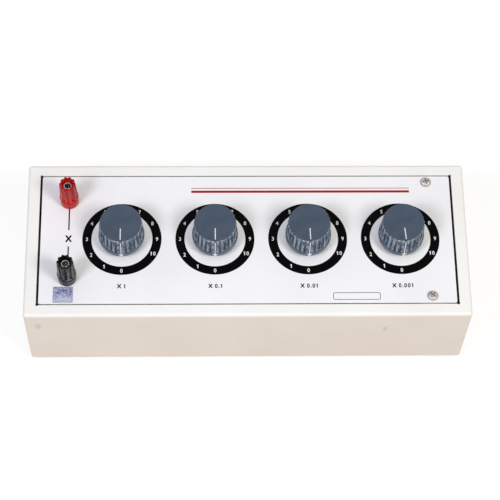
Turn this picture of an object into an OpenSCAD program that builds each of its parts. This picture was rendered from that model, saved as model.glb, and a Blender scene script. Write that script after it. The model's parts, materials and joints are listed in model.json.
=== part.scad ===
// Decade capacitance box: a folded sheet case whose flush panel carries four
// rotary decade switches and two binding posts. Millimetres, +Z up, +X to the
// right along the row of dials, -Y to the front, and the origin under the
// middle of the case, on the surface that the feet stand on.

/* [Case] */
// Length of the case, left to right
case_w = 320; // [306:1:360]
// Depth of the case, front to back
case_d = 122; // [118:1:160]
// Height of the folded case, without base plate and feet
case_h = 76; // [72:1:110]
// Thickness of the case sheet
sheet_t = 1.2; // [0.8:0.1:1.6]
// Outside radius of the folded edges
bend_r = 2.4; // [2:0.1:4]
// Width of the top lip around the panel
lip_w = 9; // [7:0.5:11]
// Radius of the relief holes in the corners of the panel opening
relief_r = 1.1; // [0.8:0.1:2]
// Width of the bottom flange that takes the base plate
flange_w = 18; // [17:0.5:26]

/* [Front panel] */
// Thickness of the panel
panel_t = 1.2; // [0.8:0.1:3]
// Radius of the corners of the panel
panel_corner_r = 1.4; // [0.5:0.1:3]
// Gap between panel and lip at the two ends
panel_gap_end = 1.6; // [0.6:0.1:2.4]
// Gap between panel and lip along the front and the back
panel_gap_side = 0.8; // [0.4:0.1:1.4]
// Distance of the panel screws from the ends of the panel
screw_from_end = 17.4; // [12:0.2:24]
// Distance of the panel screws from the long sides of the panel
screw_from_side = 5.2; // [4.6:0.1:6]
// Width of the tabs that carry the panel under the lip
tab_w = 16; // [12:0.5:22]
// Thickness of the tabs
tab_t = 1.6; // [1.2:0.1:3]
// Reach of a tab past its screw
tab_reach = 5; // [3.5:0.1:6]
// Width of the blank seal over the front left screw
label_w = 14.2; // [12:0.2:18]
// Depth of the blank seal, front to back
label_d = 12.4; // [11:0.2:13]
// Thickness of the seal
label_t = 0.15; // [0.1:0.05:0.3]

/* [Screws] */
// Thread diameter of the panel and base screws
screw_d = 4; // [3:0.1:4.4]
// Diameter of their pan heads
screw_head_d = 7.6; // [6.6:0.1:8.2]
// Height of their pan heads
screw_head_h = 2.3; // [1.6:0.1:2.8]
// Length of a panel screw under its head
panel_screw_l = 8; // [6:0.5:16]
// Width of the arms of the cross recess
cross_w = 0.9; // [0.6:0.1:1.2]
// Length of the arms of the cross recess, tip to tip
cross_l = 4.4; // [3.4:0.1:5.4]
// Depth of the cross recess
cross_depth = 1.3; // [0.6:0.1:1.4]

/* [Base and feet] */
// Thickness of the base plate
base_t = 1.2; // [0.8:0.1:2]
// Inset of the base plate from the outside of the case
base_inset = 1.5; // [0.5:0.1:2.5]
// Diameter of a rubber foot where it meets the base plate
foot_d = 16; // [13:0.5:18]
// Height of a rubber foot
foot_h = 5; // [4:0.1:10]
// Narrowing of a foot's radius towards the floor
foot_taper = 0.8; // [0:0.1:1.4]
// Margin from the edge of the base plate to a foot
foot_edge = 2.5; // [1:0.1:3.5]
// Depth of the base screws' heads inside the feet
head_sink = 0.5; // [0.2:0.1:1]
// Length of the base screws' thread above the bottom flange
base_screw_tail = 2.5; // [1:0.1:6]

/* [Dials and knobs] */
// Distance between two dials
dial_pitch = 67.2; // [62:0.1:70]
// Distance of the last dial from the right end of the panel
dial_from_right = 38.5; // [36:0.1:44]
// Diameter of the skirt of a knob
knob_d = 33; // [31:0.2:38]
// Diameter of the knob where it meets its cap
knob_top_d = 30.4; // [29.6:0.1:31]
// Height of the knob with its cap
knob_h = 21.8; // [19:0.1:28]
// Gap between the panel and the knob
knob_gap = 5.2; // [4.4:0.1:8]
// Height of the smooth skirt under the flutes
skirt_h = 4.2; // [1.4:0.1:6]
// Step from the skirt in to the fluted side
skirt_step = 0.5; // [0.3:0.1:0.8]
// Number of flutes around a knob
flute_count = 28; // [18:1:36]
// Radius of a flute
flute_r = 1.1; // [0.8:0.1:1.3]
// Depth of a flute
flute_depth = 0.7; // [0.3:0.1:0.9]
// Wall of the hollow skirt
knob_wall = 2.8; // [2.2:0.1:3.4]
// Diameter of the cap on a knob
knob_cap_d = 29.2; // [27.6:0.1:29.4]
// Height of the cap above the knob
knob_cap_t = 2; // [1.6:0.1:3]
// Bevel around the top of the cap
cap_bevel = 0.6; // [0.2:0.1:0.8]
// Height of the shadow groove under the cap
cap_groove = 0.4; // [0.2:0.1:0.6]
// Depth of the spigot that holds the cap in the knob
cap_spigot = 1.8; // [1.2:0.1:2.4]
// Width of the engraved pointer line
pointer_w = 0.7; // [0.5:0.1:1.4]
// Depth of the engraved pointer line
pointer_depth = 0.35; // [0.1:0.05:0.45]
// Start of the pointer line, from the middle of the cap
pointer_from = 5; // [2:0.5:8]
// Turn of each knob past its mark, as they are clamped
pointer_skew = [0, 0, 1.5, 4.5]; // [-14:0.5:14]

/* [Knob fixing] */
// Outside diameter of the collet
collet_d = 9; // [8:0.1:10]
// Width across the flats of the collet nut
collet_nut_af = 11; // [10.4:0.1:11.6]
// Thickness of the collet nut
collet_nut_t = 3; // [2:0.1:3.4]
// Width of the collet's slit
collet_slit = 0.8; // [0.4:0.1:1.2]
// Outside diameter of the hub in the knob
hub_d = 14; // [13:0.1:15]
// Diameter of the nut's pocket in the knob
pocket_d = 14; // [13.6:0.1:15]
// Depth of the nut's pocket
pocket_h = 3.6; // [3.5:0.1:4.2]
// Thickness of the knob's deck under that pocket
deck_t = 1.5; // [1:0.1:3]
// Height of the hub's end above the knob's lower edge
hub_recess = 0.8; // [0.5:0.1:2]

/* [Switches] */
// Diameter of the spindle
shaft_d = 6; // [5:0.1:6.4]
// Width across the two flats of the spindle's lower part
shaft_flat = 4.4; // [3.4:0.1:4.8]
// Outside diameter of the threaded bush
bush_d = 9.5; // [8.5:0.1:10]
// Width across the flats of the panel nut
panel_nut_af = 14; // [13:0.1:16]
// Thickness of the panel nut
panel_nut_t = 2.2; // [1.6:0.1:3]
// Diameter of the lock washer
lock_washer_d = 17; // [15:0.1:20]
// Thickness of the lock washer
lock_washer_t = 0.6; // [0.4:0.1:1]
// Width of the switch's mounting plate
plate_w = 28; // [27.4:0.2:34]
// Thickness of the mounting plate
plate_t = 1.6; // [1:0.1:2.4]
// Diameter of the index wheel on the spindle
wheel_d = 19.2; // [16:0.2:21]
// Thickness of the index wheel
wheel_t = 2; // [1.4:0.1:3]
// Radius of the index wheel's notches
notch_r = 1.3; // [0.8:0.1:1.5]
// Thickness of the detent spring's leaf
leaf_t = 0.5; // [0.3:0.1:0.8]
// Radius of the detent spring's bump
bump_r = 1; // [0.7:0.1:1.2]
// Length of the detent spring
leaf_l = 26; // [22:0.5:27]
// Diameter of a switch wafer
wafer_d = 38; // [36:0.2:40]
// Thickness of a wafer
wafer_t = 1.6; // [1:0.1:2.4]
// Diameter of a rotor in its wafer
rotor_d = 21.4; // [19:0.2:22.4]
// Length of the spacers from the plate to the upper wafer
spacer_upper = 10; // [9:0.1:12]
// Length of the spacers between the wafers
spacer_lower = 12; // [9:0.1:14]
// Outside diameter of the spacers
spacer_d = 6; // [4.8:0.1:7]
// Thread diameter of the two studs of a switch
stud_d = 3; // [2:0.1:3.4]
// Distance of the studs from the spindle
stud_out = 22; // [21.4:0.1:24]
// Width across the flats of the stud nuts
stud_nut_af = 5.5; // [5:0.1:6.4]
// Thickness of the stud nuts
stud_nut_t = 2.4; // [1.6:0.1:3]
// Width of a contact clip
clip_w = 2.4; // [1.8:0.1:2.8]
// Thickness of the contact clips and of the rotor blades
clip_t = 0.4; // [0.3:0.05:0.6]
// Distance of the clips' soldering eyes from the spindle
eye_out = 23.5; // [22.4:0.1:25]

/* [Binding posts] */
// Distance of the posts from the left end of the panel
post_from_end = 20.2; // [16:0.1:24]
// Distance between the red and the black post
post_spacing = 62; // [58:0.5:63]
// Diameter of the insulating collar under a post
collar_d = 13.2; // [12.2:0.1:13.4]
// Height of the collar
collar_h = 5.8; // [2.5:0.1:8]
// Diameter of the collar's spigot in the panel
spigot_d = 8; // [6:0.1:9]
// Diameter of the clamp washer
clamp_d = 10.8; // [9:0.1:12.4]
// Thickness of the clamp washer
clamp_t = 1.2; // [0.5:0.1:1.6]
// Height of the cap of a post
post_cap_h = 20.2; // [18:0.1:25]
// Diameter of the ring at the foot of the cap
post_ring_d = 13.7; // [13.2:0.1:14.2]
// Height of that ring
post_ring_h = 1.6; // [1.2:0.1:4]
// Diameter of the cap's barrel above the ring
barrel_low_d = 13; // [12.2:0.1:13.2]
// Diameter of the cap's barrel at the top
barrel_top_d = 11.8; // [11:0.1:12.4]
// Bevel around the top of the cap
post_bevel = 0.8; // [0.3:0.1:1.2]
// Number of flutes around the cap
post_flutes = 10; // [6:1:12]
// Radius of a flute of the cap
post_flute_r = 1.6; // [1.2:0.1:2]
// Depth of a flute of the cap
post_flute_depth = 0.8; // [0.3:0.1:0.9]
// Diameter of the threaded post inside the cap
post_d = 6; // [5.6:0.1:7]
// Depth of the post's end below the top of the cap
post_sink = 3.2; // [1:0.1:5]
// Diameter of the cap's mouth, which narrows down to the post's end
mouth_d = 9; // [7:0.1:9.6]
// Diameter of the plug socket in the post
socket_d = 4; // [3:0.1:4.4]
// Depth of the plug socket
socket_depth = 13; // [9:0.1:14]
// Diameter of the wire hole through the post
wire_hole_d = 2.2; // [1.4:0.1:2.6]
// Height of the wire hole above the collar
wire_hole_up = 2.2; // [1.6:0.1:2.8]
// Diameter of the post's threaded tail
tail_d = 4; // [3:0.1:4.4]
// Length of the tail under the panel
tail_l = 12; // [11.6:0.1:16]
// Diameter of the insulating washer under the panel
insulator_d = 12; // [9:0.1:12.4]
// Thickness of the insulating washer
insulator_t = 2; // [1:0.1:3]
// Width across the flats of the post nuts
post_nut_af = 7; // [6.6:0.1:8]
// Thickness of the post nuts
post_nut_t = 3.2; // [2.4:0.1:3.6]
// Thickness of a soldering tag
tag_t = 0.8; // [0.4:0.1:1.2]
// Width of the soldering tag's tail
tag_w = 3.6; // [3:0.1:4.4]

/* [Capacitors and wiring] */
// Diameters of the four capacitors of the largest decade
can_d = [8, 10, 11.5, 13]; // [5:0.5:14]
// Lengths of the four capacitors of the largest decade
can_l = [17, 19, 21, 24]; // [10:0.5:26]
// Size of each decade's capacitors against the largest decade's
can_scale = [1, 0.84, 0.7, 0.58]; // [0.4:0.02:1]
// Diameter of a capacitor's lead
lead_d = 0.8; // [0.5:0.1:1]
// Length of the leads above the capacitors
lead_up = 5; // [3.4:0.1:8]
// Length of the lead below the longest capacitor
lead_down = 3; // [1.5:0.1:5]
// Diameter of the bus wire
bus_d = 1.6; // [1.2:0.1:1.8]
// Diameter of a solder joint on the bus wire
solder_d = 2.8; // [2.4:0.1:3.2]
// Height of the upper bus wire above the upper wafers
bus_up = 3.4; // [3:0.1:5]

/* [Hidden] */
$fn = 48;

// Clearances
hole_gap = 0.2;
thread_gap = 0.05;
run_gap = 0.05;
turn_gap = 0.3;
seat_gap = 0.1;
touch_gap = 0.02;

decades = 4;
positions = 12;
eye_hole_d = lead_d + 2 * hole_gap;

// Heights, from the floor up
case_z = foot_h + base_t;
case_top = case_z + case_h;
seat_z = case_top - sheet_t;
face_z = seat_z + panel_t;

// Panel and the places on it
opening_w = case_w - 2 * lip_w;
opening_d = case_d - 2 * lip_w;
panel_w = opening_w - 2 * panel_gap_end;
panel_d = opening_d - 2 * panel_gap_side;
relief_x = (opening_w - panel_gap_end) / 2;
relief_y = (opening_d - panel_gap_side) / 2;
screw_x = panel_w / 2 - screw_from_end;
screw_y = panel_d / 2 - screw_from_side;
foot_x = case_w / 2 - base_inset - foot_edge - foot_d / 2;
foot_y = case_d / 2 - base_inset - foot_edge - foot_d / 2;
post_x = post_from_end - panel_w / 2;
post_y = post_spacing / 2;
function dial_x(i) = panel_w / 2 - dial_from_right - (decades - 1 - i) * dial_pitch;

// Knob, measured from its lower edge
knob_z = face_z + knob_gap;
knob_body_h = knob_h - knob_cap_t;
flute_low_r = knob_d / 2 - skirt_step;
flute_top_r = knob_top_d / 2;
flute_lean = atan((flute_low_r - flute_top_r) / (knob_body_h - skirt_h));
cap_ledge = 2.4;
cap_spigot_r = knob_cap_d / 2 - cap_ledge;
cap_recess = cap_spigot + hole_gap;
pocket_z = knob_body_h - cap_recess - pocket_h;
cavity_z = pocket_z - deck_t;
collet_top = pocket_z + collet_nut_t + hole_gap;

// Switch, measured from the underside of the panel
bush_top = knob_z + hub_recess - turn_gap;
plate_z = seat_z - plate_t;
plate_margin = 5;
plate_d = 2 * (stud_out + plate_margin);
wheel_z = plate_z - turn_gap - wheel_t;
upper_wafer = plate_z - spacer_upper;
lower_wafer = upper_wafer - wafer_t - spacer_lower;
stud_tail = 1.8;
stud_end = lower_wafer - wafer_t - stud_nut_t - stud_tail;
wafer_hole_d = rotor_d + 2 * turn_gap;
ear_r = 4;
ear_w = 7;
rotor_proud = 0.3;
blade_r = wafer_hole_d / 2 + 2.2;
blade_hole_r = 6;
finger_in = blade_r - 1.6;
finger_z = rotor_proud + clip_t + seat_gap;
foot_in = blade_r + 1;
eye_margin = 1.5;
spindle_end = lower_wafer - wafer_t - rotor_proud - 2;
clip_turn = 360 / positions / 2;

// Binding post, measured from the panel's face
clamp_z = face_z + collar_h;
post_cap_z = clamp_z + clamp_t;
post_top = post_cap_z + post_cap_h - post_sink;
barrel_len = post_cap_h - post_ring_h;
barrel_lean = atan((barrel_low_d - barrel_top_d) / 2 / barrel_len);
insulator_z = seat_z - insulator_t;
tag_z = insulator_z - post_nut_t - tag_t;
tail_end = seat_z - tail_l;

// Capacitors and wiring
can_turn = 45;
bus_y = eye_out * sin(can_turn);
bus_z = upper_wafer + bus_up;
can_top = lower_wafer - lead_up;
ring_z = can_top - max(can_l) - lead_down - bus_d / 2;
tag_reach = post_y - bus_y;
wire_end = 0.8;

// Colours
case_white = [0.94, 0.93, 0.9];
panel_white = [0.95, 0.95, 0.96];
slate = [0.27, 0.31, 0.37];
slate_cap = [0.3, 0.35, 0.42];
steel = [0.68, 0.68, 0.67];
brass = [0.8, 0.67, 0.36];
red = [0.68, 0.1, 0.12];
black = [0.06, 0.06, 0.07];
board = [0.52, 0.33, 0.17];
film = [0.86, 0.66, 0.2];
copper = [0.78, 0.5, 0.34];
lilac = [0.75, 0.75, 0.87];

function numbered(name) = [for (i = [1 : decades]) str(name, "_", i)];

// Shared shapes
module ring(d, hole_d, h) {
    difference() {
        cylinder(d = d, h = h);
        translate([0, 0, -1]) cylinder(d = hole_d, h = h + 2);
    }
}

module hex_nut(af, hole_d, h) {
    difference() {
        cylinder(d = af / cos(30), h = h, $fn = 6);
        translate([0, 0, -1]) cylinder(d = hole_d, h = h + 2);
    }
}

module round_rect(w, d, r) {
    square([w - 2 * r, d], center = true);
    square([w, d - 2 * r], center = true);
    for (x = [-1, 1], y = [-1, 1])
        translate([x * (w / 2 - r), y * (d / 2 - r)]) circle(r);
}

// A block whose twelve edges are all rounded to one radius
module folded_block(w, d, h, r) {
    intersection() {
        linear_extrude(h) round_rect(w, d, r);
        translate([0, 0, h / 2]) rotate([90, 0, 0])
            linear_extrude(d + 2, center = true) round_rect(w, h, r);
        translate([0, 0, h / 2]) rotate([90, 0, 90])
            linear_extrude(w + 2, center = true) round_rect(d, h, r);
    }
}

module at_corners(x, y) {
    for (sx = [-1, 1], sy = [-1, 1]) translate([sx * x, sy * y, 0]) children();
}

module at_dials() {
    for (i = [0 : decades - 1]) translate([dial_x(i), 0, 0]) children();
}

module at_studs() {
    for (sy = [-1, 1]) translate([0, sy * stud_out, 0]) children();
}

module at_posts() {
    for (sy = [-1, 1]) translate([post_x, sy * post_y, 0]) children();
}

// Room for the posts' insulators and nuts, cut from what lies under the panel
module post_relief() {
    at_posts() translate([0, 0, tail_end])
        cylinder(d = insulator_d + 2 * turn_gap, h = 2 * tail_l);
}

module wire(from, to, d) {
    run = to - from;
    translate(from)
        rotate([0, acos(run[2] / norm(run)), atan2(run[1], run[0])])
            cylinder(d = d, h = norm(run));
}

module solder(at) {
    translate(at) sphere(d = solder_d);
}

// Case
module case_shell() {
    color(case_white) translate([0, 0, case_z]) difference() {
        folded_block(case_w, case_d, case_h, bend_r);
        translate([0, 0, sheet_t])
            folded_block(case_w - 2 * sheet_t, case_d - 2 * sheet_t, case_h - 2 * sheet_t,
                bend_r - sheet_t);
        translate([-opening_w / 2, -opening_d / 2, case_h / 2])
            cube([opening_w, opening_d, case_h]);
        translate([flange_w - case_w / 2, flange_w - case_d / 2, -case_h / 2])
            cube([case_w - 2 * flange_w, case_d - 2 * flange_w, case_h]);
        at_corners(relief_x, relief_y)
            translate([0, 0, case_h / 2]) cylinder(r = relief_r, h = case_h);
        at_corners(foot_x, foot_y)
            translate([0, 0, -1]) cylinder(d = screw_d + 2 * thread_gap, h = 2 * sheet_t + 1);
    }
}

module base_plate() {
    color(case_white) translate([0, 0, foot_h]) difference() {
        translate([base_inset - case_w / 2, base_inset - case_d / 2, 0])
            cube([case_w - 2 * base_inset, case_d - 2 * base_inset, base_t]);
        at_corners(foot_x, foot_y)
            translate([0, 0, -1]) cylinder(d = screw_d + 2 * hole_gap, h = base_t + 2);
    }
}

module rubber_feet() {
    sink_d = screw_head_d + 4 * hole_gap;
    color(black) at_corners(foot_x, foot_y) difference() {
        cylinder(r1 = foot_d / 2 - foot_taper, r2 = foot_d / 2, h = foot_h);
        translate([0, 0, -1]) cylinder(d = screw_d + 2 * hole_gap, h = foot_h + 2);
        translate([0, 0, -1]) cylinder(d = sink_d, h = 1 + head_sink + screw_head_h);
    }
}

// A pan head screw that points down from the origin
module pan_screw(l) {
    difference() {
        union() {
            cylinder(d1 = screw_head_d, d2 = screw_head_d - screw_head_h, h = screw_head_h);
            translate([0, 0, -l]) cylinder(d = screw_d, h = l + screw_head_h / 2);
        }
        for (turn = [0, 90]) rotate([0, 0, turn])
            translate([-cross_l / 2, -cross_w / 2, screw_head_h - cross_depth])
                cube([cross_l, cross_w, cross_depth + 1]);
    }
}

module base_screws() {
    seat = head_sink + screw_head_h;
    color(steel) at_corners(foot_x, foot_y) translate([0, 0, seat]) rotate([180, 0, 0])
        pan_screw(foot_h - seat + base_t + sheet_t + base_screw_tail);
}

// Panel
module panel_tabs() {
    tab_in = screw_y - screw_d / 2 - tab_reach;
    tab_out = case_d / 2 - bend_r;
    color(steel) for (sx = [-1, 1], sy = [-1, 1]) difference() {
        translate([sx * screw_x - tab_w / 2, sy > 0 ? tab_in : -tab_out, seat_z - tab_t])
            cube([tab_w, tab_out - tab_in, tab_t]);
        translate([sx * screw_x, sy * screw_y, seat_z - 2 * tab_t])
            cylinder(d = screw_d + 2 * thread_gap, h = 3 * tab_t);
        post_relief();
    }
}

module front_panel() {
    color(panel_white) translate([0, 0, seat_z]) difference() {
        linear_extrude(panel_t) round_rect(panel_w, panel_d, panel_corner_r);
        translate([0, 0, -1]) {
            at_corners(screw_x, screw_y) cylinder(d = screw_d + 2 * hole_gap, h = panel_t + 2);
            at_dials() cylinder(d = bush_d + 2 * hole_gap, h = panel_t + 2);
            at_posts() cylinder(d = spigot_d + 2 * seat_gap, h = panel_t + 2);
        }
    }
}

module panel_screws() {
    color(steel) at_corners(screw_x, screw_y) translate([0, 0, face_z]) pan_screw(panel_screw_l);
}

// A paper seal pressed down over the screw head
module seal_label() {
    boss_hole_d = screw_head_d + 2 * hole_gap;
    boss_h = screw_head_h + seat_gap;
    label_back = -post_y - collar_d / 2 - turn_gap;
    color(lilac) translate([0, 0, face_z]) difference() {
        union() {
            translate([-screw_x - label_w / 2, label_back - label_d, 0])
                cube([label_w, label_d, label_t]);
            translate([-screw_x, -screw_y, 0])
                cylinder(d = boss_hole_d + 2 * label_t, h = boss_h + label_t);
        }
        translate([-screw_x, -screw_y, -1]) cylinder(d = boss_hole_d, h = boss_h + 1);
        translate([post_x, -post_y, -1]) cylinder(d = collar_d + 2 * seat_gap, h = collar_h + 1);
    }
}

// Knobs
module engraved_line() {
    rotate([0, 0, -90]) translate([0, -pointer_w / 2, 0]) children();
}

module knob(i) {
    flute_out = flute_r - flute_depth;
    skirt_r = knob_d / 2;
    line_len = norm([flute_low_r - flute_top_r, knob_body_h - skirt_h]);
    color(slate) translate([dial_x(i), 0, knob_z]) rotate([0, 0, pointer_skew[i]]) difference() {
        rotate_extrude() polygon([
            [skirt_r - knob_wall, 0], [skirt_r, 0], [skirt_r, skirt_h - skirt_step],
            [flute_low_r, skirt_h], [flute_top_r, knob_body_h],
            [cap_spigot_r + seat_gap, knob_body_h],
            [cap_spigot_r + seat_gap, knob_body_h - cap_recess],
            [pocket_d / 2, knob_body_h - cap_recess], [pocket_d / 2, pocket_z],
            [collet_d / 2 + touch_gap, pocket_z], [collet_d / 2 + touch_gap, hub_recess],
            [hub_d / 2, hub_recess], [hub_d / 2, cavity_z], [skirt_r - knob_wall, cavity_z]]);
        for (k = [0 : flute_count - 1]) rotate([0, 0, -90 + (k + 0.5) * 360 / flute_count])
            translate([flute_low_r + flute_out, 0, skirt_h])
                rotate([0, -flute_lean, 0]) cylinder(r = flute_r, h = knob_body_h);
        engraved_line() translate([flute_low_r - pointer_depth, 0, skirt_h])
            rotate([0, -flute_lean, 0]) cube([1, pointer_w, 2 * line_len]);
    }
}

module knob_cap(i) {
    cap_r = knob_cap_d / 2;
    color(slate_cap) translate([dial_x(i), 0, knob_z + knob_body_h])
        rotate([0, 0, pointer_skew[i]]) difference() {
            rotate_extrude() polygon([
                [0, -cap_spigot], [cap_spigot_r, -cap_spigot], [cap_spigot_r, 0],
                [cap_r - cap_groove, 0], [cap_r - cap_groove, cap_groove], [cap_r, cap_groove],
                [cap_r, knob_cap_t - cap_bevel], [cap_r - cap_bevel, knob_cap_t],
                [0, knob_cap_t]]);
            engraved_line() translate([pointer_from, 0, knob_cap_t - pointer_depth])
                cube([cap_r, pointer_w, pointer_depth + 1]);
        }
}

// The split collet that grips the spindle, and its nut under the cap
module collet(i) {
    hole_d = shaft_d + 2 * touch_gap;
    color(brass) translate([dial_x(i), 0, knob_z]) {
        difference() {
            translate([0, 0, hub_recess]) ring(collet_d, hole_d, collet_top - hub_recess);
            translate([-collet_d, -collet_slit / 2, (hub_recess + pocket_z) / 2])
                cube([2 * collet_d, collet_slit, knob_h]);
        }
        translate([0, 0, pocket_z]) hex_nut(collet_nut_af, collet_d + 2 * touch_gap, collet_nut_t);
    }
}

// Switches
module flatted_bar(d, flat, from, to) {
    intersection() {
        translate([0, 0, from]) cylinder(d = d, h = to - from);
        translate([-d, -flat / 2, from - 1]) cube([2 * d, flat, to - from + 2]);
    }
}

module spindle(i) {
    color(steel) translate([dial_x(i), 0, 0]) {
        translate([0, 0, wheel_z]) cylinder(d = shaft_d, h = knob_z + collet_top - 1 - wheel_z);
        flatted_bar(shaft_d, shaft_flat, spindle_end, wheel_z + wheel_t);
        difference() {
            translate([0, 0, wheel_z]) cylinder(d = wheel_d, h = wheel_t);
            for (k = [0 : positions - 1]) rotate([0, 0, k * 360 / positions])
                translate([wheel_d / 2 + notch_r / 2, 0, wheel_z - 1])
                    cylinder(r = notch_r, h = wheel_t + 2);
        }
    }
}

module switch_plate(i) {
    color(steel) difference() {
        translate([dial_x(i), 0, plate_z]) {
            translate([-plate_w / 2, -plate_d / 2, 0]) cube([plate_w, plate_d, plate_t]);
            cylinder(d = bush_d, h = bush_top - plate_z);
        }
        translate([dial_x(i), 0, plate_z - 1]) {
            cylinder(d = shaft_d + 2 * run_gap, h = bush_top - plate_z + 2);
            at_studs() cylinder(d = stud_d + 2 * thread_gap, h = plate_t + 2);
        }
        post_relief();
    }
}

module panel_nuts() {
    color(steel) at_dials() translate([0, 0, face_z + lock_washer_t])
        hex_nut(panel_nut_af, bush_d + 2 * thread_gap, panel_nut_t);
}

module lock_washers() {
    color(steel) at_dials() translate([0, 0, face_z])
        ring(lock_washer_d, bush_d + 2 * hole_gap, lock_washer_t);
}

module detent_springs() {
    leaf_y = wheel_d / 2 + turn_gap / 2 + bump_r;
    leaf_z = wheel_z;
    foot_l = 1.5;
    color(steel) at_dials() translate([0, -leaf_y, 0]) {
        translate([-leaf_l / 2, -bump_r / 2 - leaf_t, leaf_z]) cube([leaf_l, leaf_t, wheel_t]);
        for (x = [-leaf_l / 2, leaf_l / 2 - foot_l])
            translate([x, -bump_r / 2 - leaf_t, leaf_z]) cube([foot_l, leaf_t, plate_z - leaf_z]);
        translate([0, 0, leaf_z]) cylinder(r = bump_r, h = wheel_t);
    }
}

module switch_studs() {
    color(steel) at_dials() at_studs() translate([0, 0, stud_end])
        cylinder(d = stud_d, h = seat_z - seat_gap - stud_end);
}

module stud_spacers() {
    hole_d = stud_d + 2 * seat_gap;
    color(steel) at_dials() at_studs() {
        translate([0, 0, upper_wafer]) ring(spacer_d, hole_d, spacer_upper);
        translate([0, 0, lower_wafer]) ring(spacer_d, hole_d, spacer_lower);
    }
}

module stud_nuts() {
    color(steel) at_dials() at_studs()
        translate([0, 0, lower_wafer - wafer_t - stud_nut_t])
            hex_nut(stud_nut_af, stud_d + 2 * thread_gap, stud_nut_t);
}

module wafer() {
    linear_extrude(wafer_t) difference() {
        union() {
            circle(d = wafer_d);
            square([ear_w, 2 * stud_out], center = true);
            at_studs() circle(ear_r);
        }
        circle(d = wafer_hole_d);
        at_studs() circle(d = stud_d + 2 * seat_gap);
    }
}

module wafers(i) {
    color(board) translate([dial_x(i), 0, 0])
        for (top = [upper_wafer, lower_wafer]) translate([0, 0, top - wafer_t]) wafer();
}

// A rotor disc with its contact blade, keyed on the flats of the spindle
module rotors(i) {
    key_gap = run_gap;
    color(board) translate([dial_x(i), 0, 0]) for (top = [upper_wafer, lower_wafer]) {
        translate([0, 0, top]) difference() {
            translate([0, 0, -wafer_t - rotor_proud])
                cylinder(d = rotor_d, h = wafer_t + 2 * rotor_proud);
            flatted_bar(shaft_d + 2 * key_gap, shaft_flat + 2 * key_gap, -wafer_t - 1, 1);
        }
        translate([0, 0, top + rotor_proud]) linear_extrude(clip_t) difference() {
            circle(blade_r);
            circle(blade_hole_r);
            translate([blade_r, 0]) square([blade_r - finger_in + 1, blade_r], center = true);
        }
    }
}

module contact_clip() {
    outer = eye_out + eye_margin;
    rotate([90, 0, 0]) linear_extrude(clip_w, center = true) polygon([
        [outer, 0], [outer, clip_t], [foot_in + clip_t, clip_t],
        [foot_in + clip_t, finger_z + clip_t], [finger_in, finger_z + clip_t],
        [finger_in, finger_z], [foot_in, finger_z], [foot_in, 0]]);
}

module contact_clips() {
    color(brass) at_dials() for (top = [upper_wafer, lower_wafer], k = [0 : positions - 1])
        translate([0, 0, top]) rotate([0, 0, clip_turn + k * 360 / positions]) difference() {
            contact_clip();
            translate([eye_out, 0, -1]) cylinder(d = eye_hole_d, h = clip_t + 2);
        }
}

// Binding posts
module post_cap(y, paint) {
    ring_r = post_ring_d / 2;
    low_r = barrel_low_d / 2;
    top_r = barrel_top_d / 2;
    hole_r = post_d / 2 + seat_gap;
    flute_out = post_flute_r - post_flute_depth;
    color(paint) translate([post_x, y, post_cap_z]) difference() {
        rotate_extrude() polygon([
            [hole_r, 0], [ring_r, 0], [ring_r, post_ring_h - (ring_r - low_r)],
            [low_r, post_ring_h], [top_r, post_cap_h - post_bevel],
            [top_r - post_bevel, post_cap_h], [mouth_d / 2, post_cap_h],
            [hole_r, post_cap_h - post_sink]]);
        for (k = [0 : post_flutes - 1]) rotate([0, 0, (k + 0.5) * 360 / post_flutes])
            translate([low_r + flute_out, 0, post_ring_h])
                rotate([0, -barrel_lean, 0]) cylinder(r = post_flute_r, h = post_cap_h);
    }
}

module clamp_washer(y) {
    color(steel) translate([post_x, y, clamp_z]) ring(clamp_d, post_d + 2 * seat_gap, clamp_t);
}

module collar(y, paint) {
    hole_r = tail_d / 2 + seat_gap;
    color(paint) translate([post_x, y, face_z]) rotate_extrude() polygon([
        [hole_r, -panel_t], [spigot_d / 2, -panel_t], [spigot_d / 2, 0], [collar_d / 2, 0],
        [collar_d / 2, collar_h - skirt_step], [collar_d / 2 - skirt_step, collar_h],
        [hole_r, collar_h]]);
}

module terminal_posts() {
    color(steel) at_posts() difference() {
        rotate_extrude() polygon([
            [0, tail_end], [tail_d / 2, tail_end], [tail_d / 2, clamp_z],
            [post_d / 2, clamp_z], [post_d / 2, post_top], [0, post_top]]);
        translate([0, 0, post_top - socket_depth]) cylinder(d = socket_d, h = socket_depth + 1);
        translate([0, post_d, clamp_z + wire_hole_up]) rotate([90, 0, 0])
            cylinder(d = wire_hole_d, h = 2 * post_d);
    }
}

module terminal_insulators() {
    color(black) at_posts() translate([0, 0, insulator_z])
        ring(insulator_d, tail_d + 2 * seat_gap, insulator_t);
}

module terminal_nuts() {
    color(brass) at_posts() for (z = [insulator_z - post_nut_t, tag_z - post_nut_t])
        translate([0, 0, z]) hex_nut(post_nut_af, tail_d + 2 * thread_gap, post_nut_t);
}

module solder_tags() {
    color(brass) for (sy = [-1, 1]) translate([post_x, sy * post_y, tag_z])
        rotate([0, 0, -90 * sy]) linear_extrude(tag_t) difference() {
            union() {
                circle(d = post_nut_af);
                translate([0, -tag_w / 2]) square([tag_reach + tag_w / 2, tag_w]);
            }
            circle(d = tail_d + 2 * seat_gap);
            translate([tag_reach, 0]) circle(d = bus_d + 2 * seat_gap);
        }
}

// Four capacitors stand between the eyes of the lower wafer and the return ring
module capacitors(i) {
    color(film) translate([dial_x(i), 0, 0]) for (k = [0 : len(can_d) - 1])
        rotate([0, 0, can_turn + k * 90]) translate([eye_out, 0, 0]) {
            long = can_l[k] * can_scale[i];
            wire_low = ring_z + bus_d / 2 + touch_gap;
            translate([0, 0, can_top - long]) cylinder(d = can_d[k] * can_scale[i], h = long);
            translate([0, 0, wire_low])
                cylinder(d = lead_d, h = lower_wafer + clip_t + wire_end - wire_low);
        }
}

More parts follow.
